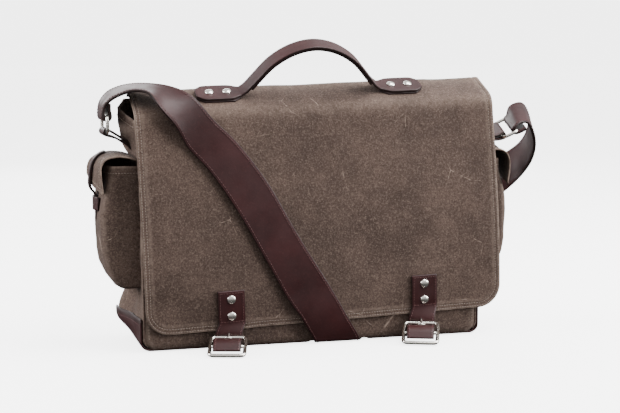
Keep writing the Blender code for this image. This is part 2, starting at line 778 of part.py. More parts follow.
def edge_station(front, back, half_width=None):
    front, back = np.array(front, float), np.array(back, float)
    half = np.linalg.norm(back - front) / 2 if half_width is None else half_width
    return ((front + back) / 2, back - front, half)


def front_station(x, z, angle, half):
    """A station on the front of the flap, where the strap slopes down at this angle from X."""
    a = math.radians(angle)
    across = np.array((math.sin(a), 0.0, math.cos(a)))
    ends = []
    for sign in (-1, 1):
        spot = np.array((x, 0.0, z)) + sign * half * across
        flap_z = spot[2] - (spot[0] - FLAP_OFFSET_X) * math.sin(FLAP_TILT)
        spot[1] = flap_front_y(min(flap_z, 262.0)) - FLAP_THICKNESS / 2 - STRAP_LIFT
        ends.append(spot)
    return edge_station(*ends)


def level_station(x, y, z, half):
    return (np.array((x, y, z)), np.array((1.0, 0.0, 0.0)), half)


def left_ring_place():
    """The ring's frame: x along its bars, y from the tab's bar up to the strap's bar."""
    top = Vector(LEFT_RING_STRAP_BAR)
    return frame_of(top - Vector((0, 0, RING_HALF_GAP)), (0, 1, 0), (0, 0, 1))


def right_ring_place():
    bar = Vector(RIGHT_BAR_DIRECTION).normalized()
    lean = Vector((0.85, 0.0, 0.5))
    up = (lean - bar * lean.dot(bar)).normalized()
    return frame_of(Vector(RIGHT_RING_STRAP_BAR) - up * RING_HALF_GAP, bar, up)


def round_bar(place, bar_y, start, end, radius, half):
    """Stations round a ring's bar, by the angle about it in the ring's Y-Z plane."""
    across = at(place, (1, 0, 0)) - at(place, (0, 0, 0))
    turn = 45 if end > start else -45
    found = []
    for a in range(start, end + (1 if turn > 0 else -1), turn):
        angle = math.radians(a)
        spot = (0.0, bar_y + radius * math.cos(angle), radius * math.sin(angle))
        found.append((at(place, spot), across, half))
    return found


def adjuster_place():
    x = STRAP_BACK_X + BACK_RUN_SLOPE * ADJUSTER_Z
    y = face_y(BACK_FACE, ADJUSTER_Z) + ADJUSTER_LIFT
    run = unit((BACK_RUN_SLOPE, 0.0, 1.0))
    return frame_of((x, y, ADJUSTER_Z), (run[2], 0.0, -run[0]), -run)


def long_strap_stations():
    ring = left_ring_place()
    wrap = WIRE + GAP + 0.15 + STRAP_THICKNESS / 2
    across = np.array((0.0, 1.0, 0.0))
    stations = [(np.array((-234.9, 0.0, z)), across, STRAP_HALF_WIDTH) for z in (284.0, 277.0)]
    stations += round_bar(ring, RING_HALF_GAP, 90, 270, wrap, STRAP_HALF_WIDTH)
    stations += [edge_station(front, back) for front, back in LEFT_ARCH]
    stations += [
        front_station(-135.0, 250.0, 44, 22.0),
        front_station(-112.0, 226.0, 47, 23.0),
        front_station(-80.0, 182.0, 56, 24.0),
        front_station(-43.0, 117.0, 60, 24.0),
        front_station(-14.0, 68.0, 72, 26.0),
    ]
    chord = STRAP_HALF_WIDTH / math.sin(math.atan2(110, 68))
    low = -STRAP_TURN_Y
    front_x = STRAP_FRONT_X
    stations += [
        level_station(front_x - 19, -64.0, 36.0, chord),
        level_station(front_x - 8, -61.5, 18.0, chord),
        level_station(front_x - 2, low - 1.6, 8.5, chord),
        level_station(front_x, low + 0.2, 4.4, chord),
        level_station(front_x + 2, low + 3.6, STRAP_UNDER_Z, chord),
    ]
    for share in (0.25, 0.5, 0.75):
        x = STRAP_FRONT_X + share * (STRAP_BACK_X - STRAP_FRONT_X)
        stations.append(level_station(x, low + share * 2 * STRAP_TURN_Y, STRAP_UNDER_Z, chord))
    back_chord = STRAP_HALF_WIDTH / math.sin(math.atan2(1.0, BACK_RUN_SLOPE))
    stations += [
        level_station(STRAP_BACK_X - 2, -low - 3.6, STRAP_UNDER_Z, chord),
        level_station(STRAP_BACK_X + 1, -low - 0.2, 4.6, back_chord),
        level_station(STRAP_BACK_X + 5, -low - 0.6, 11.0, back_chord),
    ]
    return stations + in_buckle(adjuster_place(), LONG_END_IN_ADJUSTER, STRAP_HALF_WIDTH)


def short_strap_stations():
    """From the fold round the adjuster's middle bar, up the back and out to the right ring."""
    place = adjuster_place()
    wrap = WIRE + GAP + 0.15 + STRAP_THICKNESS / 2
    route = [(-34.0, -4.7), (-26.0, -4.6), (-20.0, -4.5), (-13.0, -1.0), (-6.0, 2.9)]
    route += [(wrap * math.cos(a), wrap * math.sin(a)) for a in np.radians((90, 45, 0, -45, -90))]
    route += [(-8.0, -6.9), (-16.0, -8.6), (-30.0, -8.7), (-46.0, -8.6), (-62.0, -8.2)]
    stations = [
        (middle, -np.array(across), half) for middle, across, half in in_buckle(place, route, STRAP_HALF_WIDTH)
    ]
    stations += [edge_station(front, back) for front, back in reversed(RIGHT_LOOP)]
    ring = right_ring_place()
    bar = at(ring, (1, 0, 0)) - at(ring, (0, 0, 0))
    stations += round_bar(ring, RING_HALF_GAP, 270, 90, wrap, STRAP_HALF_WIDTH)
    end = at(ring, (0, RING_HALF_GAP + 12.0, wrap + 0.3))
    stations.append((end, bar, STRAP_HALF_WIDTH))
    return stations


def build_ring(name, place):
    wire = tube(name, rounded_rectangle(RING_HALF_LENGTH, RING_HALF_GAP, 4.5), WIRE, NICKEL, True, place)
    hinge = empty(name + "_hinge", place @ Matrix.Translation((0, -RING_HALF_GAP * MM, 0)))
    hang_on(hinge, [wire])


def ring_tab_stations(side, place):
    """Up the gusset, out to the ring's lower bar, round it, and back to the gusset above."""
    wrap = WIRE + GAP + RING_TAB_THICKNESS / 2
    wall = side * (BODY_HALF_WIDTH + GAP + RING_TAB_THICKNESS / 2 + 0.3)
    across = np.array((0.0, 1.0, 0.0))
    bar_across = at(place, (1, 0, 0)) - at(place, (0, 0, 0))
    low_bar = at(place, (0, -RING_HALF_GAP, 0))
    reach = abs(low_bar[0]) - abs(wall)
    wraps = [
        (low_bar + wrap * np.array((side * math.cos(a), 0.0, math.sin(a))), bar_across, RING_TAB_HALF_WIDTH)
        for a in np.radians((-90, -45, 0, 45, 90))
    ]
    middle = low_bar + np.array((-side * reach * 0.42, 0.0, -1.5))
    lower = (middle + np.array((0, 0, -2.4)), (across + unit(bar_across)) / 2, RING_TAB_HALF_WIDTH)
    upper = (middle + np.array((0, 0, 2.1)), (across + unit(bar_across)) / 2, RING_TAB_HALF_WIDTH)
    start = [(np.array((wall, 0.0, z)), across, RING_TAB_HALF_WIDTH) for z in (229.5, 233.5)]
    bend = (np.array((wall + side * 3.6, 0.0, 237.4)), across, RING_TAB_HALF_WIDTH)
    back_bend = (np.array((wall + side * 3.4, 0.0, 243.6)), across, RING_TAB_HALF_WIDTH)
    finish = [(np.array((wall, 0.0, z)), across, RING_TAB_HALF_WIDTH) for z in (248.5, 260.0)]
    return start + [bend, lower] + wraps + [upper, back_bend] + finish


def build_strap():
    left, right = left_ring_place(), right_ring_place()
    build_ring("left_ring", left)
    build_ring("right_ring", right)
    ribbon("left_ring_tab", ring_tab_stations(-1, left), RING_TAB_THICKNESS, LEATHER, 3)
    ribbon("right_ring_tab", ring_tab_stations(1, right), RING_TAB_THICKNESS, LEATHER, 3)
    long_part = ribbon("shoulder_strap_long", long_strap_stations(), STRAP_THICKNESS, LEATHER, 3)
    short_part = ribbon("shoulder_strap_short", short_strap_stations(), STRAP_THICKNESS, LEATHER, 3)
    place = adjuster_place()
    build_buckle_frame("adjuster_frame", place, ADJUSTER_HALF_WIDTH)
    prong = build_prong("adjuster_prong", place)
    boolean(long_part, prong_passage("long_strap_slot", place))
    slot = as_cutter(block("short_strap_slot", (-2.3, -6.6, -6.6), (2.3, 8.0, 7.0), LEATHER, place))
    boolean(short_part, slot)
    hang_on(empty("adjuster_prong_hinge", place), [prong])


# ---------------------------------------------------------------- side pockets

def build_pocket_body(name, side):
    """An open-topped pouch without a wall on the gusset's side."""
    mesh = bpy.data.meshes.new(name)
    shape = bmesh.new()
    bmesh.ops.create_cube(shape, size=1.0)
    low = Vector((BODY_HALF_WIDTH + GAP + 0.1, POCKET_FRONT, POCKET_BOTTOM)) * MM
    high = Vector((BODY_HALF_WIDTH + POCKET_DEPTH + 2.5, POCKET_BACK, POCKET_TOP)) * MM
    for point in shape.verts:
        point.co = Vector((low[i] if point.co[i] < 0 else high[i]) for i in range(3))
    shape.normal_update()
    open_sides = [f for f in shape.faces if f.normal.z > 0.9 or f.normal.x < -0.9]
    bmesh.ops.delete(shape, geom=open_sides, context="FACES_ONLY")
    outer_low = [
        e for e in shape.edges
        if all(abs(v.co.x - high.x) < 1e-6 and abs(v.co.z - low.z) < 1e-6 for v in e.verts)
    ]
    bmesh.ops.bevel(shape, geom=outer_low, offset=26 * MM, segments=5, affect="EDGES", profile=0.5)
    uprights = [
        e for e in shape.edges
        if len(e.link_faces) == 2 and abs(e.calc_face_angle(0.0)) > math.radians(60)
    ]
    bmesh.ops.bevel(shape, geom=uprights, offset=6 * MM, segments=2, affect="EDGES", profile=0.5)
    if side < 0:
        bmesh.ops.scale(shape, vec=(-1, 1, 1), verts=shape.verts)
        bmesh.ops.reverse_faces(shape, faces=shape.faces)
    shape.to_mesh(mesh)
    shape.free()
    mesh.shade_smooth()
    obj = add_object(name, mesh, CANVAS)
    thick = obj.modifiers.new("thickness", "SOLIDIFY")
    thick.thickness = 1.8 * MM
    thick.offset = -1.0
    thick.use_even_offset = True
    return obj


def pocket_flap_profile(side):
    """The pocket flap from its seam out over the pocket, in X and Z."""
    half = [
        (208.3, 223.5), (218, 226.3), (232, 227.2), (243.5, 224.2), (250.5, 216.5), (253.6, 205.0), (254.5, 191.0)
    ]
    return [(side * x, z) for x, z in smooth(half, 2)]


def build_pocket(label, side):
    build_pocket_body(f"{label}_pocket_body", side)
    profile = pocket_flap_profile(side)
    low = len(profile) - 1
    rows = []
    for i, (x, z) in enumerate(profile):
        share = max(0.0, (i - 6) / (low - 6))
        rows.append([
            (x, y, z + share * lift)
            for y, lift in ((POCKET_FRONT - 5, -9.0), (-2.0, 0.0), (POCKET_BACK + 5, 9.0))
        ])
    flap = sheet(f"{label}_pocket_flap", rows, 1.8, CANVAS)
    tab_lift = 0.9 + GAP + 1.25 + 0.15
    path = shifted(np.array(profile), side * tab_lift)
    across = np.array((0.0, 1.0, 0.0))
    half = POCKET_TAB_HALF_WIDTH
    stations = [(np.array((x, -2.0, z)), across, half) for x, z in path[1:]]
    face = BODY_HALF_WIDTH + POCKET_DEPTH + 2.5 + GAP + 1.3
    stations += [
        (np.array((side * x, -2.0, z)), across, half)
        for x, z in ((face + 5.6, 185.5), (face + 2.0, 181.0), (face, 175.0), (face, 165.0), (face, 150.0))
    ]
    tab = ribbon(f"{label}_pocket_tab", stations, 2.5, LEATHER, 2)
    near, far = face - 0.3, face + 1.25 + 0.4 + 1.0
    left = [(-20, near), (-14, near), (-10.5, far - 1.0), (-8.0, far)]
    route = left + [(-y, x) for y, x in reversed(left)]
    rows = [((side * x, y - 2.0, 164.5), (side * x, y - 2.0, 175.0)) for y, x in route]
    sheet(f"{label}_pocket_keeper", rows, 1.8, LEATHER)
    seam = frame_of((side * 208.3, -2.0, 223.5), (0, side, 0), (side, 0, 0))
    hang_on(empty(f"{label}_pocket_flap_hinge", seam), [flap, tab])


# ---------------------------------------------------------------- assembly

clear_scene()
PARTS = new_collection("satchel_bag")
CUTTERS = new_collection("cutters")
RIVET_HOLES = bpy.data.collections.new("rivet_holes")
CUTTERS.children.link(RIVET_HOLES)

CANVAS = material("waxed_canvas", (0.138, 0.107, 0.084), 0.72)
LINING = material("canvas_lining", (0.075, 0.060, 0.050), 0.85)
LEATHER = material("brown_leather", (0.065, 0.030, 0.028), 0.42)
NICKEL = material("nickel_hardware", (0.82, 0.78, 0.72), 0.18, 1.0)
BOARD = material("base_board", (0.10, 0.08, 0.06), 0.90)

build_body()
FLAP_HINGE = tilted(0.0, *FLAP_RIDGE[0])
on_flap = build_flap() + build_handle()
for closure in BUCKLES:
    on_flap += build_closure(closure)
hang_on(empty("flap_hinge", frame_of(FLAP_HINGE, TILT_ACROSS, (0, 1, 0))), on_flap)
build_strap()
build_pocket("left", -1)
build_pocket("right", 1)
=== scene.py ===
import json
import math

import bmesh
import bpy
import numpy as np
from mathutils import Matrix, Vector


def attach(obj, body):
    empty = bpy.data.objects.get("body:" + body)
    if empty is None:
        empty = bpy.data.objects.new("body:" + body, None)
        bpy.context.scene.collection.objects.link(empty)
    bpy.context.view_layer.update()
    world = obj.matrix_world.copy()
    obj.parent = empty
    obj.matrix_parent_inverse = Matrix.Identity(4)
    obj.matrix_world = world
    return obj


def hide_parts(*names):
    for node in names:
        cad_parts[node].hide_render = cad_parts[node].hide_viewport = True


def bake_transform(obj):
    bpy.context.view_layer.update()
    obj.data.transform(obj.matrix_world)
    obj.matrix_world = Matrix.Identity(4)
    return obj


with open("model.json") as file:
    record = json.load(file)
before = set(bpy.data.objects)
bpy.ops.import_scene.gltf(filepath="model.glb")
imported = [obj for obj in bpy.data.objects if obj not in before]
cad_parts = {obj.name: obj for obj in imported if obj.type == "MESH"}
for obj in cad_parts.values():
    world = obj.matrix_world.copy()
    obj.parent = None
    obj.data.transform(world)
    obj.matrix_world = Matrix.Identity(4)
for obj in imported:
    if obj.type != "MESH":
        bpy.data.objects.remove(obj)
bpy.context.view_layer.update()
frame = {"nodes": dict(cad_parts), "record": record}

# All lengths are in millimetres until a mesh is made.
MM = 0.001
BODY_HALF = 205.0
BODY_CORNER = 12.0
PANEL_BOTTOM = 3.0
BODY_EDGE = 7.0
BODY_FOOT = 2.5
RIM_FRONT = 263.0
RIM_RISE = 35.0
FRONT_FACE = [(-51.5, 2.5), (-53.6, 8), (-55.0, 55), (-54.5, 110), (-49.0, 190), (-42.0, 266)]
BACK_FACE = [(51.5, 2.5), (53.4, 8), (54.0, 60), (51.0, 120), (44.0, 190), (32.0, 250), (16.0, 293)]
BASE_OUTER = 207.6
BASE_WRAP_TOP = 38.0
FLAP_TILT = math.radians(2.0)
FLAP_OFFSET_X = 11.0
FLAP_PIVOT_Z = 160.0
FLAP_HALF = 217.0
FLAP_CORNER = 28.0
FLAP_THICKNESS = 1.6
FLAP_RIDGE = [(14.0, 299.5), (10.0, 302.6), (5.0, 304.6), (-1.0, 304.0)]
SLOPE_TOP = (-1.0, 304.0)
SLOPE_END = (-36.0, 287.0)
FLAP_SHOULDER = [SLOPE_END, (-42.5, 282.2), (-46.2, 275.0), (-47.6, 266.0)]
FLAP_FRONT = [
    (-47.6, 266.0), (-50.2, 243.0), (-53.6, 210.0), (-57.2, 170.0),
    (-60.0, 130.0), (-61.0, 95.0), (-60.2, 55.0), (-57.8, 27.0),
]
TAB_X = 118.0
TAB_TOP = 73.5
TAB_RIVETS = (63.5, 44.0)
TAB_HALF = 16.0
TAB_THICKNESS = 3.0
TAB_GAP = 0.6
HANDLE_X = -4.0
PLATE_X = 111.0
WIRE = 2.0
BAR_SPACING = 20.0
PRONG_HEIGHT = 3.8
STRAP_HALF = 24.0
STRAP_THICKNESS = 3.5
RING_HALF_LENGTH = 27.0
RING_HALF_GAP = 9.0
RING_TAB_X = 208.0
RING_TAB_HALF = 21.0
RING_TAB_THICKNESS = 2.5
STRAP_TURN_Y = 57.0
STRAP_FRONT_X = 25.0
STRAP_BACK_X = 92.0
POCKET_FRONT = -40.0
POCKET_BACK = 36.0
POCKET_SEAM = 201.0
POCKET_MIDDLE = -2.0
POCKET_FLOOR = 74.0
POCKET_RIM = 214.0
LID_HALF = 43.0
GAP = 0.35
BACKDROP = 4.5
SIDES = ((-1, "left"), (1, "right"))


# ---------------------------------------------------------------- shapes

def unit(vector):
    vector = np.array(vector, float)
    return vector / np.linalg.norm(vector)


def unit_rows(rows):
    return rows / np.linalg.norm(rows, axis=1)[:, None]


def smooth(points, steps):
    """A centripetal Catmull-Rom curve through points, whose first coordinates are their place."""
    p = np.array(points, float)
    padded = np.vstack([2 * p[0] - p[1], p, 2 * p[-1] - p[-2]])
    found = []
    for a, b, c, d in zip(padded, padded[1:], padded[2:], padded[3:]):
        knots = [0.0]
        for start, end in ((a, b), (b, c), (c, d)):
            knots.append(knots[-1] + math.sqrt(np.linalg.norm((end - start)[:3])))
        gap = knots[2] - knots[1]
        into = (b - a) / knots[1] - (c - a) / knots[2] + (c - b) / gap
        out = (c - b) / gap - (d - b) / (knots[3] - knots[1]) + (d - c) / (knots[3] - knots[2])
        into, out = into * gap, out * gap
        square, cube = 3 * (c - b) - 2 * into - out, 2 * (b - c) + into + out
        found += [b + into * t + square * t**2 + cube * t**3 for t in np.arange(steps) / steps]
    found.append(p[-1])
    return np.array(found)


def fade(value, low, high):
    """0 below low, 1 above high and smooth between them."""
    t = np.clip((np.asarray(value, float) - low) / (high - low), 0.0, 1.0)
    return t * t * (3 - 2 * t)


def bell(value, width):
    """1 at zero, and close to 0 beyond twice this width."""
    return np.exp(-((value / width) ** 2))


def ripple(x, y, size, seed):
    """Soft waves from -1 to 1 with lumps of about this size."""
    total = 0.0
    for k in range(6):
        angle = 2.4 * k + 1.7 * seed
        pace = 2 * math.pi / (size * (0.75 + 0.16 * k))
        total = total + np.sin((x * math.cos(angle) + y * math.sin(angle)) * pace + 5.1 * k * seed + seed)
    return total / 3.4


def running_length(points):
    steps = np.linalg.norm(np.diff(points, axis=0), axis=1)
    return np.concatenate([[0.0], np.cumsum(steps)])


def add_object(name, data):
    obj = bpy.data.objects.new(name, data)
    bpy.context.scene.collection.objects.link(obj)
    return obj


def finish_piece(obj, body, look, *stands_for):
    """Gives a piece its look and its body. A piece with no body is left unattached."""
    obj.data.materials.clear()
    obj.data.materials.append(look)
    if body is not None:
        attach(obj, body)
    if stands_for:
        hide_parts(*stands_for)
    return obj


def mesh_object(name, points, faces, uvs=None, wear=None):
    """A smooth mesh from points in millimetres, with a UV in metres and a wear value at each point."""
    mesh = bpy.data.meshes.new(name)
    mesh.from_pydata([Vector(point) * MM for point in points], [], faces)
    mesh.validate()
    mesh.shade_smooth()
    if uvs is not None:
        layer = mesh.uv_layers.new(name="UVMap")
        index = np.zeros(len(mesh.loops), np.int32)
        mesh.loops.foreach_get("vertex_index", index)
        layer.data.foreach_set("uv", (np.array(uvs)[index] * MM).ravel())
    worn = mesh.attributes.new("wear", "FLOAT", "POINT")
    values = np.zeros(len(points)) if wear is None else np.asarray(wear, float)
    worn.data.foreach_set("value", values.ravel())
    return add_object(name, mesh)


def grid_faces(rows, columns, wrap, cyclic=False, flip=False):
    """Quads between the points of a grid, whose rows may close, and whose last row may join its first."""
    faces = []
    for r in range(rows if cyclic else rows - 1):
        q = (r + 1) % rows
        for c in range(columns if wrap else columns - 1):
            d = (c + 1) % columns
            near, far = (r * columns + c, r * columns + d), (q * columns + d, q * columns + c)
            faces.append((near[0], far[1], far[0], near[1]) if flip else near + far)
    return faces


def ring_faces(rows, sides, flip=False):
    """The faces of a solid made of rings of points, with a cap at each end."""
    caps = [tuple(range(sides)), tuple(range((rows - 1) * sides, rows * sides))]
    caps[1 if flip else 0] = caps[1 if flip else 0][::-1]
    return grid_faces(rows, sides, True, flip=flip) + caps


def full_turn(sides):
    return [2 * math.pi * k / sides for k in range(sides)]


def cloth_grid(name, points, thickness, wear=None, offset=0.0, closed=False):
    """A sheet of even thickness through a grid of points (rows, columns, 3)."""
    rows, columns, _ = points.shape
    across = np.array([running_length(row) for row in points]).mean(axis=0)
    down = np.array([running_length(points[:, c]) for c in range(0, columns, 4)]).mean(axis=0)
    uvs = np.stack(np.broadcast_arrays(across[None, :], down[:, None]), axis=-1).reshape(-1, 2)
    flat_wear = None if wear is None else np.broadcast_to(wear, (rows, columns)).ravel()
    obj = mesh_object(name, points.reshape(-1, 3), grid_faces(rows, columns, closed), uvs, flat_wear)
    thick = obj.modifiers.new("thickness", "SOLIDIFY")
    thick.thickness = thickness * MM
    thick.offset = offset
    return obj


def strap_frames(stations, steps):
    """Centre, across, normal and half width along a strap."""
    placed = [np.hstack((middle, unit(across), half)) for middle, across, half in stations]
    line = smooth(placed, steps) if steps > 1 else np.array(placed)
    centre, across, half = line[:, :3], line[:, 3:6], line[:, 6]
    across = unit_rows(across)
    normal = unit_rows(np.cross(across, unit_rows(np.gradient(centre, axis=0))))
    return centre, across, normal, half


def strap_section(thickness):
    """The strap's section as (share across, fixed across, up), with round edges and a slight crown."""
    t = thickness / 2
    section = []
    for side in (1, -1):
        flats = (-0.96, -0.8, -0.5, 0.0, 0.5, 0.8, 0.96)
        section += [(share * side, 0.0, side * t * (1.0 - 0.06 * abs(share))) for share in flats]
        for a in (65, 35, 0, -35, -65):
            angle = math.radians(a)
            fixed = side * (-0.5 + 0.5 * math.cos(angle)) * t
            section.append((side * 1.0, fixed, side * t * 0.95 * math.sin(angle)))
    return section


def strap(name, stations, thickness, steps=6):
    """A leather strap with round burnished edges through stations (middle, across, half width)."""
    centre, across, normal, half = strap_frames(stations, steps)
    section = strap_section(thickness)
    points, uvs, wear = [], [], []
    for c, a, n, h, s in zip(centre, across, normal, half, running_length(centre)):
        for share, extra, up in section:
            points.append(c + a * (share * h + extra) + n * up)
            uvs.append((s, share * h + (0.0 if up > 0 else 2.2 * h)))
            wear.append(1.0 if abs(share) > 0.99 else 0.0)
    return mesh_object(name, points, ring_faces(len(centre), len(section), True), uvs, wear)


def strap_edge_line(stations, thickness, inset, side, steps=6, face=1.0, start=0.0, stop=1.0):
    """A line of (point, normal) on a strap's face at a distance from one edge."""
    centre, across, normal, half = strap_frames(stations, steps)
    low, high = int(start * len(centre)), max(2, int(stop * len(centre)))
    lines = zip(centre[low:high], across[low:high], normal[low:high], half[low:high])
    return [(c + a * side * (h - inset) + n * face * thickness / 2, n * face) for c, a, n, h in lines]


# Each thread's rings, as (place along it, size, lift).
THREAD_RINGS = ((-1.0, 0.3, -0.25), (-0.72, 0.9, 0.35), (0.0, 1.0, 0.6), (0.72, 0.9, 0.35), (1.0, 0.3, -0.25))
THREAD_SIDES = 6


def along_line(values, along, s):
    return np.array([np.interp(s, along, values[:, i]) for i in range(3)])


def stitches(name, lines, pitch, length, radius, look, body):
    """Threads that lie along lines of (point, normal)."""
    points, faces = [], []
    thread = ring_faces(len(THREAD_RINGS), THREAD_SIDES)
    for line in lines:
        place = np.array([point for point, _ in line])
        normals = np.array([normal for _, normal in line])
        along = running_length(place)
        for s in np.arange(pitch / 2, along[-1], pitch):
            middle = along_line(place, along, s)
            ahead, back = along_line(place, along, min(s + 0.5, along[-1])), along_line(place, along, s - 0.5)
            up, run = unit(along_line(normals, along, s)), unit(ahead - back)
            side = unit(np.cross(up, run))
            first = len(points)
            for reach, size, lift in THREAD_RINGS:
                spot = middle + run * reach * length / 2
                for a in full_turn(THREAD_SIDES):
                    rise = up * radius * (math.sin(a) * size + lift)
                    points.append(spot + side * math.cos(a) * radius * size + rise)
            faces += [tuple(first + corner for corner in face) for face in thread]
    return finish_piece(mesh_object(name, points, faces), body, look)


def tube(name, line, radius, cyclic=False, place=None, sides=16):
    """A round wire along points."""
    line = np.array(line, float)
    run = np.roll(line, -1, axis=0) - np.roll(line, 1, axis=0) if cyclic else np.gradient(line, axis=0)
    run = unit_rows(run)
    normal = np.cross(run[0], (0.0, 0.0, 1.0))
    if np.linalg.norm(normal) < 0.1:
        normal = np.cross(run[0], (1.0, 0.0, 0.0))
    points = []
    for spot, tangent in zip(line, run):
        normal = unit(normal - tangent * np.dot(normal, tangent))
        other = np.cross(tangent, normal)
        points += [spot + radius * (normal * math.cos(a) + other * math.sin(a)) for a in full_turn(sides)]
    if place is not None:
        points = [at(place, point) for point in points]
    faces = grid_faces(len(line), sides, True, True) if cyclic else ring_faces(len(line), sides)
    return mesh_object(name, points, faces)


def turned(name, profile, place, sides=32):
    """A solid turned about z from (radius, height) pairs, from its top to its bottom."""
    spots = [(r * math.cos(a), r * math.sin(a), height) for r, height in profile for a in full_turn(sides)]
    return mesh_object(name, [at(place, spot) for spot in spots], ring_faces(len(profile), sides, True))


def frame_of(origin, across, along):
    x, y = Vector(unit(across)), Vector(unit(along))
    z = x.cross(y).normalized()
    turn = Matrix((x, z.cross(x), z)).transposed().to_4x4()
    return Matrix.Translation(Vector(origin)) @ turn


def at(place, point):
    return np.array(place @ Vector(point))


def direction(place, axis):
    return at(place, axis) - at(place, (0, 0, 0))


def face_line(points, out, lift):
    """A line of (point, normal) that is raised from cloth which faces out."""
    out = np.array(out, float)
    return [(point + out * lift, out) for point in points]


def face_y(profile, z):
    return np.interp(z, [height for _, height in profile], [depth for depth, _ in profile])


# ---------------------------------------------------------------- materials

class Shades:
    """A material's node tree, with short ways to add and join nodes."""

    def __init__(self, name, roughness, metallic=0.0):
        self.material = bpy.data.materials.new(name)
        self.material.use_nodes = True
        self.tree = self.material.node_tree
        self.shader = self.tree.nodes["Principled BSDF"]
        self.shader.inputs["Roughness"].default_value = roughness
        self.shader.inputs["Metallic"].default_value = metallic

    def add(self, kind, inputs=None, **settings):
        node = self.tree.nodes.new(kind)
        for key, value in settings.items():
            setattr(node, key, value)
        for key, value in (inputs or {}).items():
            self.feed(node.inputs[key], value)
        return node

    def feed(self, socket, value):
        if isinstance(value, bpy.types.NodeSocket):
            self.tree.links.new(value, socket)
        else:
            socket.default_value = value

    def noise(self, scale, detail=4.0, vector=None, rough=0.55):
        inputs = {"Scale": scale, "Detail": detail, "Roughness": rough}
        inputs["Vector"] = self.place() if vector is None else vector
        return self.add("ShaderNodeTexNoise", inputs).outputs["Fac"]

    def place(self):
        return self.add("ShaderNodeTexCoord").outputs["Object"]

    def uv(self):
        return self.add("ShaderNodeTexCoord").outputs["UV"]

    def spread(self, value, low, high, to_low=0.0, to_high=1.0):
        inputs = {"Value": value, "From Min": low, "From Max": high, "To Min": to_low, "To Max": to_high}
        return self.add("ShaderNodeMapRange", inputs).outputs["Result"]

    def sum_up(self, operation, a, b):
        return self.add("ShaderNodeMath", {0: a, 1: b}, operation=operation).outputs[0]

    def blend(self, share, a, b):
        node = self.add("ShaderNodeMix", data_type="RGBA")
        for place, value in ((0, share), (6, a), (7, b)):
            self.feed(node.inputs[place], value)
        return node.outputs[2]

    def wear(self):
        return self.add("ShaderNodeAttribute", attribute_name="wear").outputs["Fac"]

    def bands(self, direction, scale, vector):
        inputs = {"Scale": scale, "Distortion": 0.6, "Detail": 1.0, "Detail Scale": 2.0, "Vector": vector}
        return self.add("ShaderNodeTexWave", inputs, bands_direction=direction).outputs["Fac"]

    def bump(self, height, strength, distance, before=None):
        inputs = {"Strength": strength, "Distance": distance, "Height": height}
        if before is not None:
            inputs["Normal"] = before
        return self.add("ShaderNodeBump", inputs).outputs["Normal"]

    def set(self, name, value):
        self.feed(self.shader.inputs[name], value)


def colour(r, g, b):
    return (r, g, b, 1.0)


def scaled(base, share):
    return colour(*[channel * share for channel in base[:3]])


def canvas_material(name, dark, mid, pale, weave=390.0):
    """Waxed canvas: a fine weave, cloudy wax, hems pale from rubbing, a painted highlight on the body's
    end-wall fold ridges, and a few scuffs.
    """
    s = Shades(name, 0.78)
    clouds = s.noise(11.0, 5.0)
    patches = s.noise(38.0, 6.0, rough=0.65)
    grain = s.noise(620.0, 3.0, rough=0.7)
    tone = s.sum_up("ADD", s.sum_up("MULTIPLY", clouds, 0.6), s.sum_up("MULTIPLY", patches, 0.4))
    body = s.blend(s.spread(tone, 0.42, 0.60), dark, mid)
    body = s.blend(s.spread(grain, 0.54, 0.74, 0.0, 0.62), body, pale)
    body = s.blend(s.spread(grain, 0.47, 0.30, 0.0, 0.75), body, scaled(dark, 0.55))
    mottle = s.noise(400.0, 4.0, rough=0.75)
    body = s.blend(s.spread(mottle, 0.52, 0.70, 0.0, 0.40), body, pale)
    body = s.blend(s.spread(mottle, 0.47, 0.34, 0.0, 0.5), body, scaled(dark, 0.5))
    # Paler where the wear value is high: real rubbing at hems, edges and corners, and a painted highlight on
    # the body's end-wall fold ridges.
    wear_and_highlight = s.sum_up("MULTIPLY", s.wear(), s.spread(s.noise(140.0, 4.0), 0.3, 0.62, 0.15, 1.0))
    body = s.blend(wear_and_highlight, body, pale)
    cracks = s.add("ShaderNodeTexVoronoi", {"Vector": s.place(), "Scale": 21.0}, feature="DISTANCE_TO_EDGE")
    thin = s.spread(cracks.outputs["Distance"], 0.0, 0.012, 1.0, 0.0)
    where = s.spread(s.noise(17.0, 2.0), 0.54, 0.64)
    broken = s.spread(s.noise(120.0, 2.0), 0.45, 0.6)
    scuff = s.sum_up("MULTIPLY", s.sum_up("MULTIPLY", thin, where), s.sum_up("MULTIPLY", broken, 0.8))
    body = s.blend(scuff, body, scaled(pale, 1.5))
    s.set("Base Color", body)
    s.set("Roughness", s.spread(tone, 0.35, 0.65, 0.66, 0.86))
    s.set("Sheen Weight", 0.05)
    s.set("Sheen Roughness", 0.5)
    s.set("Specular IOR Level", 0.12)
    uv = s.uv()
    threads = s.sum_up("MULTIPLY", s.bands("X", weave, uv), s.bands("Y", weave, uv))
    bump = s.bump(threads, 0.35, 0.0002)
    bump = s.bump(grain, 0.30, 0.0004, bump)
    s.set("Normal", s.bump(patches, 0.35, 0.0016, bump))
    return s.material


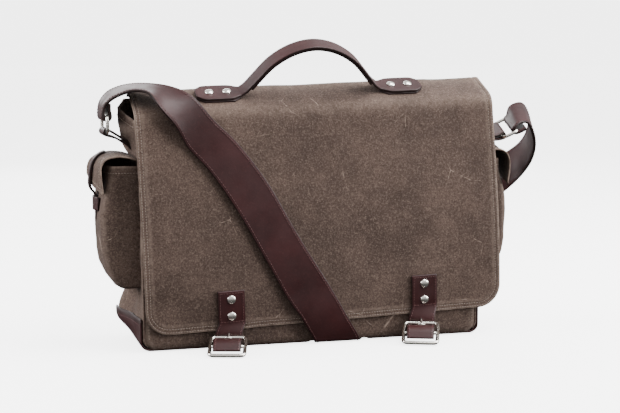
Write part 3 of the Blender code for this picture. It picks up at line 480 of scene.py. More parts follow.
def leather_material(name, dark, mid, pale):
    """Smooth pull-up leather with fine pores, soft creases and dark burnished edges."""
    s = Shades(name, 0.42)
    clouds = s.noise(16.0, 4.0)
    fine = s.noise(420.0, 4.0, rough=0.6)
    body = s.blend(s.spread(clouds, 0.35, 0.66), dark, mid)
    body = s.blend(s.spread(fine, 0.52, 0.8, 0.0, 0.3), body, pale)
    body = s.blend(s.sum_up("MULTIPLY", s.wear(), 0.8), body, colour(0.016, 0.009, 0.008))
    s.set("Base Color", body)
    s.set("Roughness", s.spread(s.noise(55.0, 4.0), 0.3, 0.7, 0.34, 0.52))
    s.set("Specular IOR Level", 0.30)
    s.set("Coat Weight", 0.03)
    s.set("Coat Roughness", 0.32)
    pores = s.add("ShaderNodeTexVoronoi", {"Vector": s.place(), "Scale": 760.0})
    bump = s.bump(pores.outputs["Distance"], 0.12, 0.0003)
    s.set("Normal", s.bump(s.noise(90.0, 5.0, rough=0.6), 0.12, 0.0012, bump))
    return s.material


def metal_material(name, base):
    s = Shades(name, 0.2, 1.0)
    marks = s.noise(180.0, 4.0)
    s.set("Base Color", s.blend(s.spread(marks, 0.4, 0.75), base, scaled(base, 0.86)))
    s.set("Roughness", s.spread(marks, 0.3, 0.7, 0.14, 0.27))
    s.set("Normal", s.bump(marks, 0.05, 0.0004))
    return s.material


def thread_material(name, base):
    s = Shades(name, 0.6)
    twist = s.noise(1500.0, 2.0)
    s.set("Base Color", s.blend(s.spread(twist, 0.3, 0.7), scaled(base, 0.6), base))
    s.set("Normal", s.bump(twist, 0.4, 0.0002))
    s.set("Sheen Weight", 0.1)
    return s.material


CANVAS = canvas_material(
    "waxed_canvas", colour(0.062, 0.040, 0.032), colour(0.105, 0.070, 0.056), colour(0.26, 0.195, 0.158)
)
LINING = canvas_material(
    "canvas_lining", colour(0.016, 0.013, 0.013), colour(0.026, 0.021, 0.020), colour(0.045, 0.037, 0.034),
    460.0,
)
LEATHER = leather_material(
    "brown_leather", colour(0.024, 0.0065, 0.0068), colour(0.042, 0.0115, 0.012), colour(0.085, 0.028, 0.027)
)
NICKEL = metal_material("nickel_hardware", colour(0.86, 0.82, 0.76))
BOARD = thread_material("base_board", colour(0.10, 0.08, 0.06))
CANVAS_THREAD = thread_material("canvas_thread", colour(0.34, 0.26, 0.21))
LEATHER_THREAD = thread_material("leather_thread", colour(0.12, 0.040, 0.038))

SLOTS = {
    "waxed_canvas": CANVAS, "canvas_lining": LINING, "brown_leather": LEATHER,
    "nickel_hardware": NICKEL, "base_board": BOARD,
}
SLOT_OF = {look: slot for slot, look in SLOTS.items()}
SLOT_OF.update({CANVAS_THREAD: "waxed_canvas", LEATHER_THREAD: "brown_leather"})
for part in frame["record"]["subparts"]:
    node = frame["nodes"][part["node"]]
    node.data.materials.clear()
    node.data.materials.append(SLOTS[part["material_slot"]])


# ---------------------------------------------------------------- flap

def tilted(x, y, z):
    """Points of the flap's own frame, in the world."""
    c, s = math.cos(FLAP_TILT), math.sin(FLAP_TILT)
    rise = z - FLAP_PIVOT_Z
    turned_x, turned_z = FLAP_OFFSET_X + x * c - rise * s, FLAP_PIVOT_Z + x * s + rise * c
    return np.stack(np.broadcast_arrays(turned_x, y, turned_z), -1)


TILT_ACROSS = np.array((math.cos(FLAP_TILT), 0.0, math.sin(FLAP_TILT)))


def flap_line():
    ridge = smooth(FLAP_RIDGE, 6)
    slope = np.linspace(SLOPE_TOP, SLOPE_END, 16)[1:]
    shoulder = smooth(FLAP_SHOULDER, 8)[1:]
    front = smooth(FLAP_FRONT, 12)[1:]
    line = np.vstack([ridge, slope, shoulder, front])
    run = unit_rows(np.gradient(line, axis=0))
    for _ in range(3):
        run[1:-1] = (run[:-2] + run[1:-1] + run[2:]) / 3
    return line, unit_rows(run), running_length(line)


FLAP_LINE, FLAP_RUN, FLAP_S = flap_line()
FLAP_LENGTH = FLAP_S[-1]
DOWN = int(FLAP_LINE[:, 0].argmin())
SLOPE_S = float(np.interp(18.5, -FLAP_LINE[:DOWN, 0], FLAP_S[:DOWN]))


def flap_s_at(z):
    """The distance down the flap at which its front is at height z."""
    front = FLAP_S > SLOPE_S + 15
    return float(np.interp(-z, -FLAP_LINE[front, 1], FLAP_S[front]))


def flap_front_y(z):
    front = FLAP_LINE[FLAP_S > SLOPE_S + 15][::-1]
    return float(np.interp(z, front[:, 1], front[:, 0]))


def edge_distance(x, s):
    """How far a point of the flap is from its nearest free edge."""
    side, low = FLAP_HALF - np.abs(x), FLAP_LENGTH - s
    corner = FLAP_CORNER - np.hypot(np.maximum(FLAP_CORNER - side, 0), np.maximum(FLAP_CORNER - low, 0))
    inside = (side < FLAP_CORNER) & (low < FLAP_CORNER)
    return np.where(inside, corner, np.minimum(side, low))


def flap_relief(x, s):
    """How far the cloth stands out from its plain profile. It is level under the leather."""
    relief = -0.9 + 0.75 * ripple(x, s * 0.8, 150.0, 1.0) + 0.35 * ripple(x, s, 60.0, 2.0)
    pull = bell(np.abs(x + 4) - 165, 26) * bell(s - 95, 55)
    relief = relief - 1.1 * pull * (0.5 + 0.5 * np.sin((x * 0.75 + s * 0.5) / 8.0))
    relief = relief - 1.2 * (bell(x, 70.0) * bell(s - 62, 16))
    relief = np.clip(relief, -3.0, -0.05)
    plates = fade(np.abs(np.abs(x - HANDLE_X) - PLATE_X), 30, 48)
    plates = np.maximum(plates, fade(np.abs(s - SLOPE_S), 17, 26))
    tabs = np.maximum(fade(np.abs(np.abs(x) - TAB_X), 17, 34), fade(flap_s_at(TAB_TOP) - s, -2, 18))
    relief = relief * np.minimum(plates, tabs) - 0.05
    edge = edge_distance(x, s)
    hem = 0.40 * (1 - fade(edge, 9.0, 11.5)) - 0.40 * bell(edge - 6.0, 0.9)
    pucker = 0.22 * np.sin((x + s) / 2.1) * bell(edge - 8.0, 4.0)
    return relief + hem + pucker * np.minimum(plates, tabs)


def flap_point(x, s, lift=0.0):
    y, z = np.interp(s, FLAP_S, FLAP_LINE[:, 0]), np.interp(s, FLAP_S, FLAP_LINE[:, 1])
    ry, rz = np.interp(s, FLAP_S, FLAP_RUN[:, 0]), np.interp(s, FLAP_S, FLAP_RUN[:, 1])
    out = flap_relief(x, s) + lift
    flare = 1.5 * fade(s, FLAP_LENGTH - 60, FLAP_LENGTH) * ripple(x, 0 * x, 170.0, 3.0)
    return tilted(x, y + rz * out - np.maximum(flare, -0.4), z - ry * out)


def dense_edges(half, border, fine, coarse):
    """Places from -1 to 1 that are close together near both ends."""
    inner = np.arange(0.0, half - border, coarse)
    outer = np.arange(half - border, half + fine / 2, fine)
    positive = np.concatenate([inner, outer])
    positive = positive / positive[-1]
    return np.concatenate([-positive[:0:-1], positive])


def flap_grid(inset, half, step):
    columns = dense_edges(FLAP_HALF, 14.0, 1.3, step)
    round_part = FLAP_LENGTH - FLAP_CORNER * (1 - np.linspace(0, 1, 22)) ** 1.6
    rows = np.concatenate([np.arange(0, FLAP_LENGTH - FLAP_CORNER, step), round_part])
    up = np.minimum(FLAP_LENGTH - rows, FLAP_CORNER)
    side = FLAP_CORNER - np.sqrt(np.maximum(FLAP_CORNER**2 - (FLAP_CORNER - up) ** 2, 0))
    x = columns[None, :] * (half - side)[:, None]
    s = np.broadcast_to(rows[:, None], x.shape)
    return flap_point(x, s, -inset), x, s


def build_flap():
    points, x, s = flap_grid(0.0, FLAP_HALF, 3.4)
    edge = edge_distance(x, s)
    ridge = bell(s - 16, 12.0) * 0.3 + bell(s - SLOPE_S - 32, 10.0) * 0.25
    wear = np.clip(bell(edge, 2.2) * 0.8 + bell(edge - 8.5, 2.4) * 0.3 + ridge, 0, 1)
    flap = cloth_grid("flap_canvas", points, FLAP_THICKNESS, wear)
    finish_piece(flap, "flap", CANVAS, "flap_outer")
    inner, _, _ = flap_grid(1.45, FLAP_HALF - 3.0, 8.0)
    lining = cloth_grid("flap_lining_cloth", inner, 1.0)
    finish_piece(lining, "flap", LINING, "flap_lining")
    thread = stitches(
        "flap_stitching", [flap_seam(6.0), flap_seam(2.2)], 3.2, 2.4, 0.34, CANVAS_THREAD, "flap"
    )


def flap_seam(inset):
    """The stitched line inside the flap's free edges, as (point, normal) pairs."""
    turn = FLAP_CORNER - inset
    low = FLAP_LENGTH - FLAP_CORNER
    side = FLAP_HALF - inset
    left = [(-side, s) for s in np.arange(20, low, 2.0)]
    quarter = np.radians(range(0, 91, 6))
    corner = [(-side + turn * (1 - math.cos(a)), low + turn * math.sin(a)) for a in quarter]
    bottom = [(x, FLAP_LENGTH - inset) for x in np.arange(-side + turn, 0, 2.0)]
    half = left + corner + bottom
    path = half + [(-x, s) for x, s in reversed(half)]
    x, s = np.array(path).T
    top = flap_point(x, s, FLAP_THICKNESS / 2)
    above = flap_point(x, s, FLAP_THICKNESS / 2 + 1.0)
    return list(zip(top, above - top))


# ---------------------------------------------------------------- body

def body_half(z):
    rise = np.clip(PANEL_BOTTOM + BODY_CORNER - z, 0, BODY_CORNER - 0.5)
    return BODY_HALF - BODY_CORNER + np.sqrt(BODY_CORNER**2 - rise**2)


def gusset_push(side, y, z):
    """How far the soft end wall stands out at a depth and a height. A strap pulls at its top."""
    peak = np.clip(1 - np.abs(y + 4) / 44.0, 0, 1)
    pull = (20.0 if side < 0 else 30.0) * peak**1.15 * fade(z, 200, 268)
    slump = (15.0 if side < 0 else 5.0) * fade(y, -46, 46) * bell(z - 34, 30.0) * fade(z, 4, 26)
    crease = -5.0 * bell(y + 2, 16.0) * bell(z - 60, 26.0)
    soft = np.clip(1 - (np.abs(y) / 48.0) ** 4, 0, 1)
    folds = 2.6 * ripple(y, z, 46.0, 4.0 + side) * fade(z, 20, 60) * soft
    return pull + slump + crease + folds


def behind_flap(x, z):
    """Where the front panel lies against the closed flap's lining."""
    across, rise = x - FLAP_OFFSET_X, z - FLAP_PIVOT_Z
    flap_x = across * math.cos(FLAP_TILT) + rise * math.sin(FLAP_TILT)
    flap_z = FLAP_PIVOT_Z + rise * math.cos(FLAP_TILT) - across * math.sin(FLAP_TILT)
    return flap_front_y(flap_z) - float(flap_relief(flap_x, flap_s_at(flap_z))) + 2.5


def body_plan():
    """Places round the body as (x, share of the depth, side of an end wall), from the front's left end."""
    corner = BODY_EDGE / 105.0
    turn = [(BODY_EDGE * (1 - math.sin(a)), corner * (1 - math.cos(a))) for a in np.radians((22, 45, 68))]
    end = BODY_HALF - BODY_EDGE
    return (
        [(x, 0.0, 0.0) for x in np.linspace(-end, end, 64)]
        + [(BODY_HALF - x, depth, 0.0) for x, depth in turn]
        + [(BODY_HALF, depth, 1.0) for depth in np.linspace(corner, 1 - corner, 30)]
        + [(BODY_HALF - x, 1 - depth, 0.0) for x, depth in reversed(turn)]
        + [(x, 1.0, 0.0) for x in np.linspace(end, -end, 64)]
        + [(x - BODY_HALF, 1 - depth, 0.0) for x, depth in turn]
        + [(-BODY_HALF, depth, -1.0) for depth in np.linspace(1 - corner, corner, 30)]
        + [(x - BODY_HALF, depth, 0.0) for x, depth in reversed(turn)]
    )


def body_point(share, x, depth, side):
    """A point of the body. share runs from 0 at the floor to 1 at the rim, which rises to the back."""
    rise = RIM_RISE + (x - FLAP_OFFSET_X) * math.sin(FLAP_TILT)
    z = BODY_FOOT + share * (RIM_FRONT + depth * rise - BODY_FOOT)
    front, back = float(face_y(FRONT_FACE, z)), float(face_y(BACK_FACE, z))
    if depth == 0.0:
        covered = fade(z, 82, 104) * (1 - fade(z, 222, 248)) * (1 - fade(abs(x), 150, 192))
        front += (behind_flap(x, z) - front) * float(covered)
    y = front + depth * (back - front)
    out = side * float(gusset_push(side, y, z)) if side else 0.0
    dent = 0.0 if side else abs(0.5 * float(ripple(x, z, 90.0, 5.0)))
    return x * (float(body_half(z)) / BODY_HALF) + out, y + (-dent if depth > 0.5 else dent), z


def body_wear_and_highlight(points, shares):
    """Corners at the front and the rim worn pale by rubbing, and a painted highlight on the fold ridges of
    the soft end walls.
    """
    x, y, z = points[..., 0], points[..., 1], points[..., 2]
    seam = np.abs(np.abs(x) - body_half(z)) < 9
    corners = (np.abs(y - face_y(FRONT_FACE, z)) < 7) & seam
    wear = np.where(corners, 0.45, 0.0) + 0.6 * bell(1 - shares[:, None] * np.ones(len(points[0])), 0.012)
    # The end walls' fold ridges are made paler: a painted highlight.
    left_folds, right_folds = (ripple(y, z, 46.0, 4.0 + side) for side in (-1, 1))
    folds = np.where(x < 0, left_folds, right_folds)
    return np.clip(wear + np.where(np.abs(x) > 203, 0.55 * fade(folds, 0.35, 0.95), 0.0), 0, 1)


def build_body():
    shares = np.concatenate([np.linspace(0, 0.1, 14)[:-1], np.linspace(0.1, 1.0, 62)])
    plan = body_plan()
    points = np.array([[body_point(share, *place) for place in plan] for share in shares])
    shell = cloth_grid("body_canvas", points, 2.0, body_wear_and_highlight(points, shares), offset=-1.0, closed=True)
    finish_piece(shell, "bag", CANVAS, "front_panel", "back_panel", "left_gusset", "right_gusset")
    ends = ((69, 96, 1.0), (168, 196, -1.0))
    lines = [face_line(points[-3, first:last], (side, 0, 0), 0.25) for first, last, side in ends]
    lines += [face_line(points[6:, column], (0, -1, 0), 0.3) for column in (0, 63)]
    lines += [face_line(points[row, 101:163], (0, 1, 0), 0.3) for row in (-3, -5)]
    stitches("body_stitching", lines, 3.4, 2.5, 0.34, CANVAS_THREAD, "bag")
    for label, column in (("right", 65), ("left", -2)):
        line = smooth(points[2:-1:3, column] + np.array((0, -0.3, 0)), 3)
        finish_piece(tube(f"{label}_corner_piping", line, 1.35, sides=10), "bag", CANVAS)


def base_path(side):
    """The base's outer line from the middle of the floor up round one end, as (x, z)."""
    centre = BASE_OUTER - BODY_CORNER
    floor = [(x, 1.15) for x in np.linspace(0, centre, 60)[:-1]]
    radius = BODY_CORNER - 1.15
    quarter = np.radians(range(0, 91, 6))
    arc = [(centre + radius * math.sin(a), BODY_CORNER - radius * math.cos(a)) for a in quarter]
    wall = [(centre + radius, z) for z in np.linspace(BODY_CORNER, BASE_WRAP_TOP, 8)[1:]]
    return [(side * x, z) for x, z in floor + arc + wall]


def build_base():
    line = base_path(-1)[::-1] + base_path(1)[1:]
    hem = np.linspace(-51.0, -44, 5)
    depths = np.concatenate([hem[:-1], np.linspace(-44, 44, 40), np.linspace(44, 51.0, 5)[1:]])
    run = np.array((STRAP_BACK_X - STRAP_FRONT_X, 2 * STRAP_TURN_Y))
    run = run / np.linalg.norm(run)
    points = []
    for x, z in line:
        floor = 1 - float(fade(z, 2, 8))
        side = 1.0 if x > 0 else -1.0
        row = []
        for y in depths:
            away = abs((x - (STRAP_FRONT_X + STRAP_BACK_X) / 2) * run[1] - y * run[0])
            lift = 4.3 * (1 - float(fade(away, 26, 33))) * floor
            out = side * float(gusset_push(side, y, z)) * float(fade(z, 3, 14))
            row.append((x + out, y, z + lift + 1.1 * float(fade(abs(y), 44, 51)) * floor))
        points.append(row)
    points = np.array(points)
    wear = np.zeros(points.shape[:2])
    wear[:2] = wear[-2:] = 0.7
    finish_piece(cloth_grid("base_leather", points, 2.2, wear), "bag", LEATHER, "base_panel")
    lines = [face_line(points[row], (side, 0, 0), 1.2) for row, side in ((2, -1.0), (-3, 1.0))]
    stitches("base_stitching", lines, 3.4, 2.5, 0.32, LEATHER_THREAD, "bag")


# ---------------------------------------------------------------- leather and metal on the flap

def slope_frame(x, lift):
    down = unit((0, SLOPE_END[0] - SLOPE_TOP[0], SLOPE_END[1] - SLOPE_TOP[1]))
    out = np.array((0.0, down[2], -down[1]))
    middle = (np.array((0.0, *SLOPE_TOP)) + np.array((0.0, *SLOPE_END))) / 2
    point = middle + np.array((x, 0.0, 0.0)) + out * lift
    origin = tilted(*point)
    return frame_of(origin, TILT_ACROSS, tilted(*(point - down)) - origin)


def tab_frame(side, z, lift):
    y = flap_front_y(z)
    slope = (flap_front_y(z + 5) - flap_front_y(z - 5)) / 10
    up = unit((0.0, slope, 1.0))
    out = np.array((0.0, -up[2], up[1]))
    point = np.array((side * TAB_X, y, z)) + out * lift
    origin = tilted(*point)
    return frame_of(origin, TILT_ACROSS, tilted(*(point + up)) - origin)


def build_rivet(name, place, depth):
    """A domed head with a rolled rim, on a shank that reaches through the layers to its burr."""
    angles = np.radians(range(12, 91, 13))
    dome = [(0.05, 2.5)] + [(5.0 * math.sin(a), 0.55 + 1.95 * math.cos(a)) for a in angles]
    rim = [(5.15, 0.45), (5.1, 0.15), (4.6, 0.05), (2.0, 0.05)]
    tail = [(2.0, -depth), (4.0, -depth), (4.2, -depth - 0.5), (3.9, -depth - 0.9), (0.05, -depth - 1.0)]
    return turned(name, dome + rim + tail, place)


def plate_outline(half_length, half_width, chamfer, inset=0.0):
    x, y, c = half_length - inset, half_width - inset, chamfer - inset * 0.41
    low = [(-x, -y + c), (-x + c, -y), (x - c, -y), (x, -y + c)]
    return low + [(-u, -v) for u, v in low]


def plate_piece(name, place, half_length, half_width, chamfer, thickness):
    """An octagonal leather plate with soft edges."""
    top = thickness / 2
    levels = ((0.0, -top), (0.0, top - 0.9), (0.35, top - 0.3), (1.1, top), (5.0, top + 0.05))
    points, wear = [], []
    for inset, height in levels:
        outline = plate_outline(half_length, half_width, chamfer, inset)
        points += [at(place, (x, y, height)) for x, y in outline]
        wear += [1.0 if inset < 0.5 else 0.0] * len(outline)
    plate = mesh_object(name, points, ring_faces(len(levels), 8), wear=wear)
    plate.data.set_sharp_from_angle(angle=math.radians(38))
    return plate


def grip_path(drop):
    half = [(-84.5, 0.4), (-78, 5.5), (-68, 17.5), (-50, 38), (-26, 53), (0, 58.5)]
    path = smooth(half + [(-x, h) for x, h in reversed(half[:-1])], 6)
    run = unit_rows(np.gradient(path, axis=0))
    return path + np.column_stack([run[:, 1], -run[:, 0]]) * drop


HANDLE_ENDS = [
    (-137.5, 0, 9.0), (-133.0, 0, 13.5), (-128.5, 0, 16.6), (-120, 0, 17.0), (-103, 0, 17.0), (-95, 0, 16.0),
    (-89.0, 0.15, 12.6),
]


def build_handle():
    plate_lift = FLAP_THICKNESS / 2 + GAP + 1.0
    strap_lift = plate_lift + 1.0 + GAP + 1.2
    place = slope_frame(HANDLE_X, strap_lift)
    across = direction(place, (0, 1, 0))
    for side, label in SIDES:
        low = slope_frame(HANDLE_X + side * PLATE_X, plate_lift)
        chape = plate_piece(f"{label}_handle_chape", low, 26.5, 17.0, 9.0, 2.0)
        finish_piece(chape, "flap", LEATHER, f"{label}_handle_plate")
    grip = grip_path(0.0)
    swell = [11.0 + 0.9 * math.sin(math.pi * k / (len(grip) - 1)) ** 2 for k in range(len(grip))]
    line = HANDLE_ENDS + [(x, h, half) for (x, h), half in zip(grip, swell)]
    line += [(-x, h, half) for x, h, half in reversed(HANDLE_ENDS)]
    stations = [(at(place, (x, 0, h)), across, half) for x, h, half in line]
    finish_piece(strap("handle_leather", stations, 2.8, 2), "flap", LEATHER, "handle_strap")
    lining = [(at(place, (x, 0, h)), across, 10.9) for x, h in grip_path(2.75)[8:-8]]
    finish_piece(strap("handle_under_leather", lining, 2.5, 1), "flap", LEATHER, "handle_grip_lining")
    lines = [strap_edge_line(stations, 2.8, 2.6, edge, 2, 1.0, 0.03, 0.97) for edge in (-1, 1)]
    lines += [strap_edge_line(lining, 2.5, 2.4, edge, 1, face) for edge in (-1, 1) for face in (1.0, -1.0)]
    stitches("handle_stitching", lines, 3.4, 2.5, 0.3, LEATHER_THREAD, "flap")
    depth = strap_lift + 1.2 + FLAP_THICKNESS / 2 + GAP + 1.0 + GAP + 2.0 + GAP
    for side, label in SIDES:
        for offset, end in ((-10.5, "a"), (10.5, "b")):
            spot = slope_frame(HANDLE_X + side * PLATE_X + offset, strap_lift + 1.4)
            rivet = build_rivet(f"{label}_handle_stud_{end}", spot, depth)
            finish_piece(rivet, "flap", NICKEL, f"{label}_handle_rivet_{end}")


# ---------------------------------------------------------------- buckles

def rounded_rectangle(half_x, half_y, corner, steps=8):
    points = []
    for quarter, (sx, sy) in enumerate(((1, 1), (-1, 1), (-1, -1), (1, -1))):
        for step in range(steps + 1):
            a = math.radians(90 * quarter + 90 * step / steps)
            x = sx * (half_x - corner) + corner * math.cos(a)
            y = sy * (half_y - corner) + corner * math.sin(a)
            points.append((x, y, 0.0))
    return points


def build_buckle(label, place, half_width, body, tongue_body, frame_node, prong_node):
    ring = tube(f"{label}_wire", rounded_rectangle(half_width, BAR_SPACING, 5.0), WIRE + 0.15, True, place)
    finish_piece(ring, body, NICKEL, frame_node)
    middle = [(x, 0, 0) for x in np.linspace(-half_width, half_width, 9)]
    finish_piece(tube(f"{label}_bar", middle, WIRE - 0.1, False, place), body, NICKEL)
    turn = np.radians(range(270, 89, -12))
    hook = [(0.0, PRONG_HEIGHT * math.cos(a), PRONG_HEIGHT * math.sin(a)) for a in turn]
    tip = [(0.0, y, PRONG_HEIGHT) for y in (4.0, 8.0, 12.0, 16.0, 20.0, 22.5)]
    prong = tube(f"{label}_tongue_wire", hook + tip, 1.5, False, place, 12)
    finish_piece(prong, tongue_body, NICKEL, prong_node)


TAB_IN_BUCKLE = [
    (25.4, 3.4), (24.3, -2.4), (20.4, -4.6), (15.5, -2.9), (10.5, 1.4),
    (5.5, 5.6), (0.0, 7.6), (-6.0, 7.2), (-11.0, 5.0), (-15.0, 3.0),
]
BUCKLES = {
    "left": (-1, (-112.8, -85.5, 9.3), 16.0, 18.0),
    "right": (1, (121.0, -84.3, 11.8), 22.0, 24.0),
}


def in_buckle(place, route, half_width):
    across = direction(place, (1, 0, 0))
    return [(at(place, (0, along, above)), across, half_width) for along, above in route]


def closure_tab_stations(side, place):
    lift = FLAP_THICKNESS / 2 + TAB_GAP + TAB_THICKNESS / 2
    heights = (TAB_TOP, 64.0, 54.0, 44.0, 35.0)
    stations = [(at(tab_frame(side, z, lift), (0, 0, 0)), TILT_ACROSS, TAB_HALF) for z in heights]
    threaded = in_buckle(place, TAB_IN_BUCKLE, TAB_HALF)
    middle, across, _ = threaded[0]
    threaded[0] = (middle, unit(across + TILT_ACROSS), TAB_HALF)
    return stations + threaded


def anchor_stations(place):
    wrap = WIRE + 0.35 + 1.0
    route = [(16.0, -9.5), (11.0, -7.4), (5.5, -5.0)]
    route += [(wrap * math.cos(a), wrap * math.sin(a)) for a in np.radians((270, 225, 180, 135, 90))]
    route += [(4.5, 1.9), (10.0, -3.4), (15.0, -6.2), (20.0, -8.2)]
    stations = in_buckle(place, route, 15.0)
    x = stations[-1][0][0]
    for z in (11.0, 14.0):
        stations.append((np.array((x, float(face_y(FRONT_FACE, z)) - 1.8, z)), (1.0, 0.0, 0.0), 15.0))
    return stations


def build_closure(label):
    side, origin, yaw, pitch = BUCKLES[label]
    a, b = math.radians(yaw), math.radians(pitch)
    along = (math.sin(a) * math.cos(b), math.cos(a) * math.cos(b), math.sin(b))
    place = frame_of(origin, (math.cos(a), -math.sin(a), 0.0), along)
    build_buckle(f"{label}_closure", place, BAR_SPACING, f"{label}_buckle", f"{label}_tongue",
                 f"{label}_buckle_frame", f"{label}_buckle_prong")
    stations = closure_tab_stations(side, place)
    tab = strap(f"{label}_closure_leather", stations, TAB_THICKNESS, 6)
    finish_piece(tab, "flap", LEATHER, f"{label}_closure_tab")
    anchor = strap(f"{label}_anchor_leather", anchor_stations(place), 2.0, 4)
    finish_piece(anchor, "bag", LEATHER, f"{label}_buckle_anchor")
    lines = [strap_edge_line(stations, TAB_THICKNESS, 2.6, edge, 6, -1.0, 0.02, 0.995) for edge in (-1, 1)]
    lift = FLAP_THICKNESS / 2 + TAB_GAP + TAB_THICKNESS
    for z in (TAB_TOP - 2.8, 37.5):
        spot = tab_frame(side, z, lift)
        out = direction(spot, (0, 0, 1))
        lines.append([(at(spot, (x, 0, 0)), out) for x in np.linspace(-13.2, 13.2, 12)])
    stitches(f"{label}_closure_stitching", lines, 3.3, 2.4, 0.32, LEATHER_THREAD, "flap")
    eyelet = place @ Matrix.Translation((0, 11.3, PRONG_HEIGHT + 0.15))
    eyelet = eyelet @ Matrix.Rotation(math.radians(-40.5), 4, "X")
    circle = [(4.3 * math.cos(t), 4.3 * math.sin(t), 0.2) for t in np.radians(range(0, 360, 15))]
    ring = tube(f"{label}_eyelet_ring", circle, 0.85, True, eyelet, 10)
    finish_piece(ring, "flap", NICKEL, f"{label}_tab_eyelet")
    stack = lift + FLAP_THICKNESS / 2 + GAP + 1.0 + GAP
    for z, end in zip(TAB_RIVETS, ("upper", "lower")):
        rivet = build_rivet(f"{label}_tab_stud_{end}", tab_frame(side, z, lift), stack)
        finish_piece(rivet, "flap", NICKEL, f"{label}_tab_rivet_{end}")


# ---------------------------------------------------------------- shoulder strap

LEFT_ARCH = [
    ((-240.5, -24, 281), (-240.5, 24, 284)),
    ((-233.0, -27, 289), (-233.0, 21, 295)),
    ((-222.0, -31, 295), (-223.0, 16, 301)),
    ((-208.0, -38, 299), (-208.0, 9, 305)),
    ((-193.5, -48, 296), (-188.0, -3, 306)),
    ((-183.0, -56.0, 281), (-164.0, -20, 303)),
    ((-167.0, -57.5, 262), (-141.0, -42.5, 291)),
]
RIGHT_LOOP = [
    ((271.0, -22.5, 254.5), (276.5, 22.5, 273.5)),
    ((283.0, -19, 255), (293.0, 24, 278)),
    ((293.0, -14, 242), (305.0, 29, 263)),
    ((300.5, -4, 225), (309.0, 36, 247)),
    ((302.0, 9, 206), (305.0, 47, 229)),
    ((297.5, 24, 188), (294.0, 58, 216)),
    ((284.0, 38, 168), (270.0, 64, 202)),
    ((261.0, 50, 147), (239.0, 66, 187)),
    ((233.0, 57, 127), (207.0, 64, 166)),
]
# Across the flap, as (x, z, angle of the section, half width).
STRAP_ON_FRONT = [
    (-135.0, 250.0, 44, 22.0), (-112.0, 226.0, 47, 23.0), (-80.0, 182.0, 56, 24.0),
    (-43.0, 117.0, 60, 24.0), (-14.0, 68.0, 72, 26.0),
]
LEFT_RING_BAR = (-238.0, 0.0, 269.5)
RIGHT_RING_BAR = (270.9, 0.0, 252.5)
RIGHT_BAR_DIRECTION = (0.165, 0.952, 0.258)
STRAP_LIFT = STRAP_THICKNESS / 2 + 0.85
STRAP_WRAP = WIRE + 0.5 + STRAP_THICKNESS / 2
BACK_SLANT = 0.70
ADJUSTER_Z = 75.0
LONG_END_IN_ADJUSTER = [
    (50.0, -8.5), (32.0, -6.6), (25.0, -5.0), (20.0, -4.4), (15.0, -2.2), (10.0, 2.4),
    (5.0, 6.8), (0.0, 8.6), (-6.0, 8.4), (-12.0, 6.9), (-16.0, 5.7),
]


def edge_station(front, back):
    front, back = np.array(front, float), np.array(back, float)
    return ((front + back) / 2, back - front, np.linalg.norm(back - front) / 2)


def front_station(x, z, angle, half):
    a = math.radians(angle)
    across = np.array((math.sin(a), 0.0, math.cos(a)))
    ends = []
    for sign in (-1, 1):
        spot = np.array((x, 0.0, z)) + sign * half * across
        flap_z = spot[2] - (spot[0] - FLAP_OFFSET_X) * math.sin(FLAP_TILT)
        spot[1] = flap_front_y(min(flap_z, 262.0)) - FLAP_THICKNESS / 2 - STRAP_LIFT
        ends.append(spot)
    return edge_station(*ends)


def level_station(x, y, z, half):
    return (np.array((x, y, z)), np.array((1.0, 0.0, 0.0)), half)


def left_ring_place():
    return frame_of(Vector(LEFT_RING_BAR) - Vector((0, 0, RING_HALF_GAP)), (0, 1, 0), (0, 0, 1))


def right_ring_place():
    bar = Vector(RIGHT_BAR_DIRECTION).normalized()
    lean = Vector((0.85, 0.0, 0.5))
    up = (lean - bar * lean.dot(bar)).normalized()
    return frame_of(Vector(RIGHT_RING_BAR) - up * RING_HALF_GAP, bar, up)


def round_bar(place, bar_y, start, end, radius, half):
    across = direction(place, (1, 0, 0))
    turn = 45 if end > start else -45
    found = []
    for a in range(start, end + (1 if turn > 0 else -1), turn):
        angle = math.radians(a)
        spot = (0.0, bar_y + radius * math.cos(angle), radius * math.sin(angle))
        found.append((at(place, spot), across, half))
    return found


def adjuster_place():
    run = unit((BACK_SLANT, 0.0, 1.0))
    y = float(face_y(BACK_FACE[2:4], ADJUSTER_Z)) + 10.9
    return frame_of((STRAP_BACK_X + BACK_SLANT * ADJUSTER_Z, y, ADJUSTER_Z), (run[2], 0.0, -run[0]), -run)


def long_strap_stations():
    ring = left_ring_place()
    across = np.array((0.0, 1.0, 0.0))
    stations = [(np.array((-234.9, 0.0, z)), across, STRAP_HALF) for z in (284.0, 277.0)]
    stations += round_bar(ring, RING_HALF_GAP, 90, 270, STRAP_WRAP, STRAP_HALF)
    stations += [edge_station(front, back) for front, back in LEFT_ARCH]
    stations += [front_station(*front) for front in STRAP_ON_FRONT]
    chord = STRAP_HALF / math.sin(math.atan2(110, 68))
    back_chord = STRAP_HALF / math.sin(math.atan2(1.0, BACK_SLANT))
    low, x = -STRAP_TURN_Y, STRAP_FRONT_X
    turns = ((x - 19, -64.0, 36.0), (x - 8, -61.5, 18.0), (x - 2, low - 1.6, 8.5))
    turns += ((x, low + 0.2, 4.4), (x + 2, low + 3.6, 2.4))
    stations += [level_station(*turn, chord) for turn in turns]
    for share in (0.25, 0.5, 0.75):
        spot = STRAP_FRONT_X + share * (STRAP_BACK_X - STRAP_FRONT_X)
        stations.append(level_station(spot, low + share * 2 * STRAP_TURN_Y, 2.4, chord))
    stations += [
        level_station(STRAP_BACK_X - 2, -low - 3.6, 2.4, chord),
        level_station(STRAP_BACK_X + 1, -low - 0.2, 4.6, back_chord),
        level_station(STRAP_BACK_X + 5, -low - 0.6, 11.0, back_chord),
    ]
    return stations + in_buckle(adjuster_place(), LONG_END_IN_ADJUSTER, STRAP_HALF)


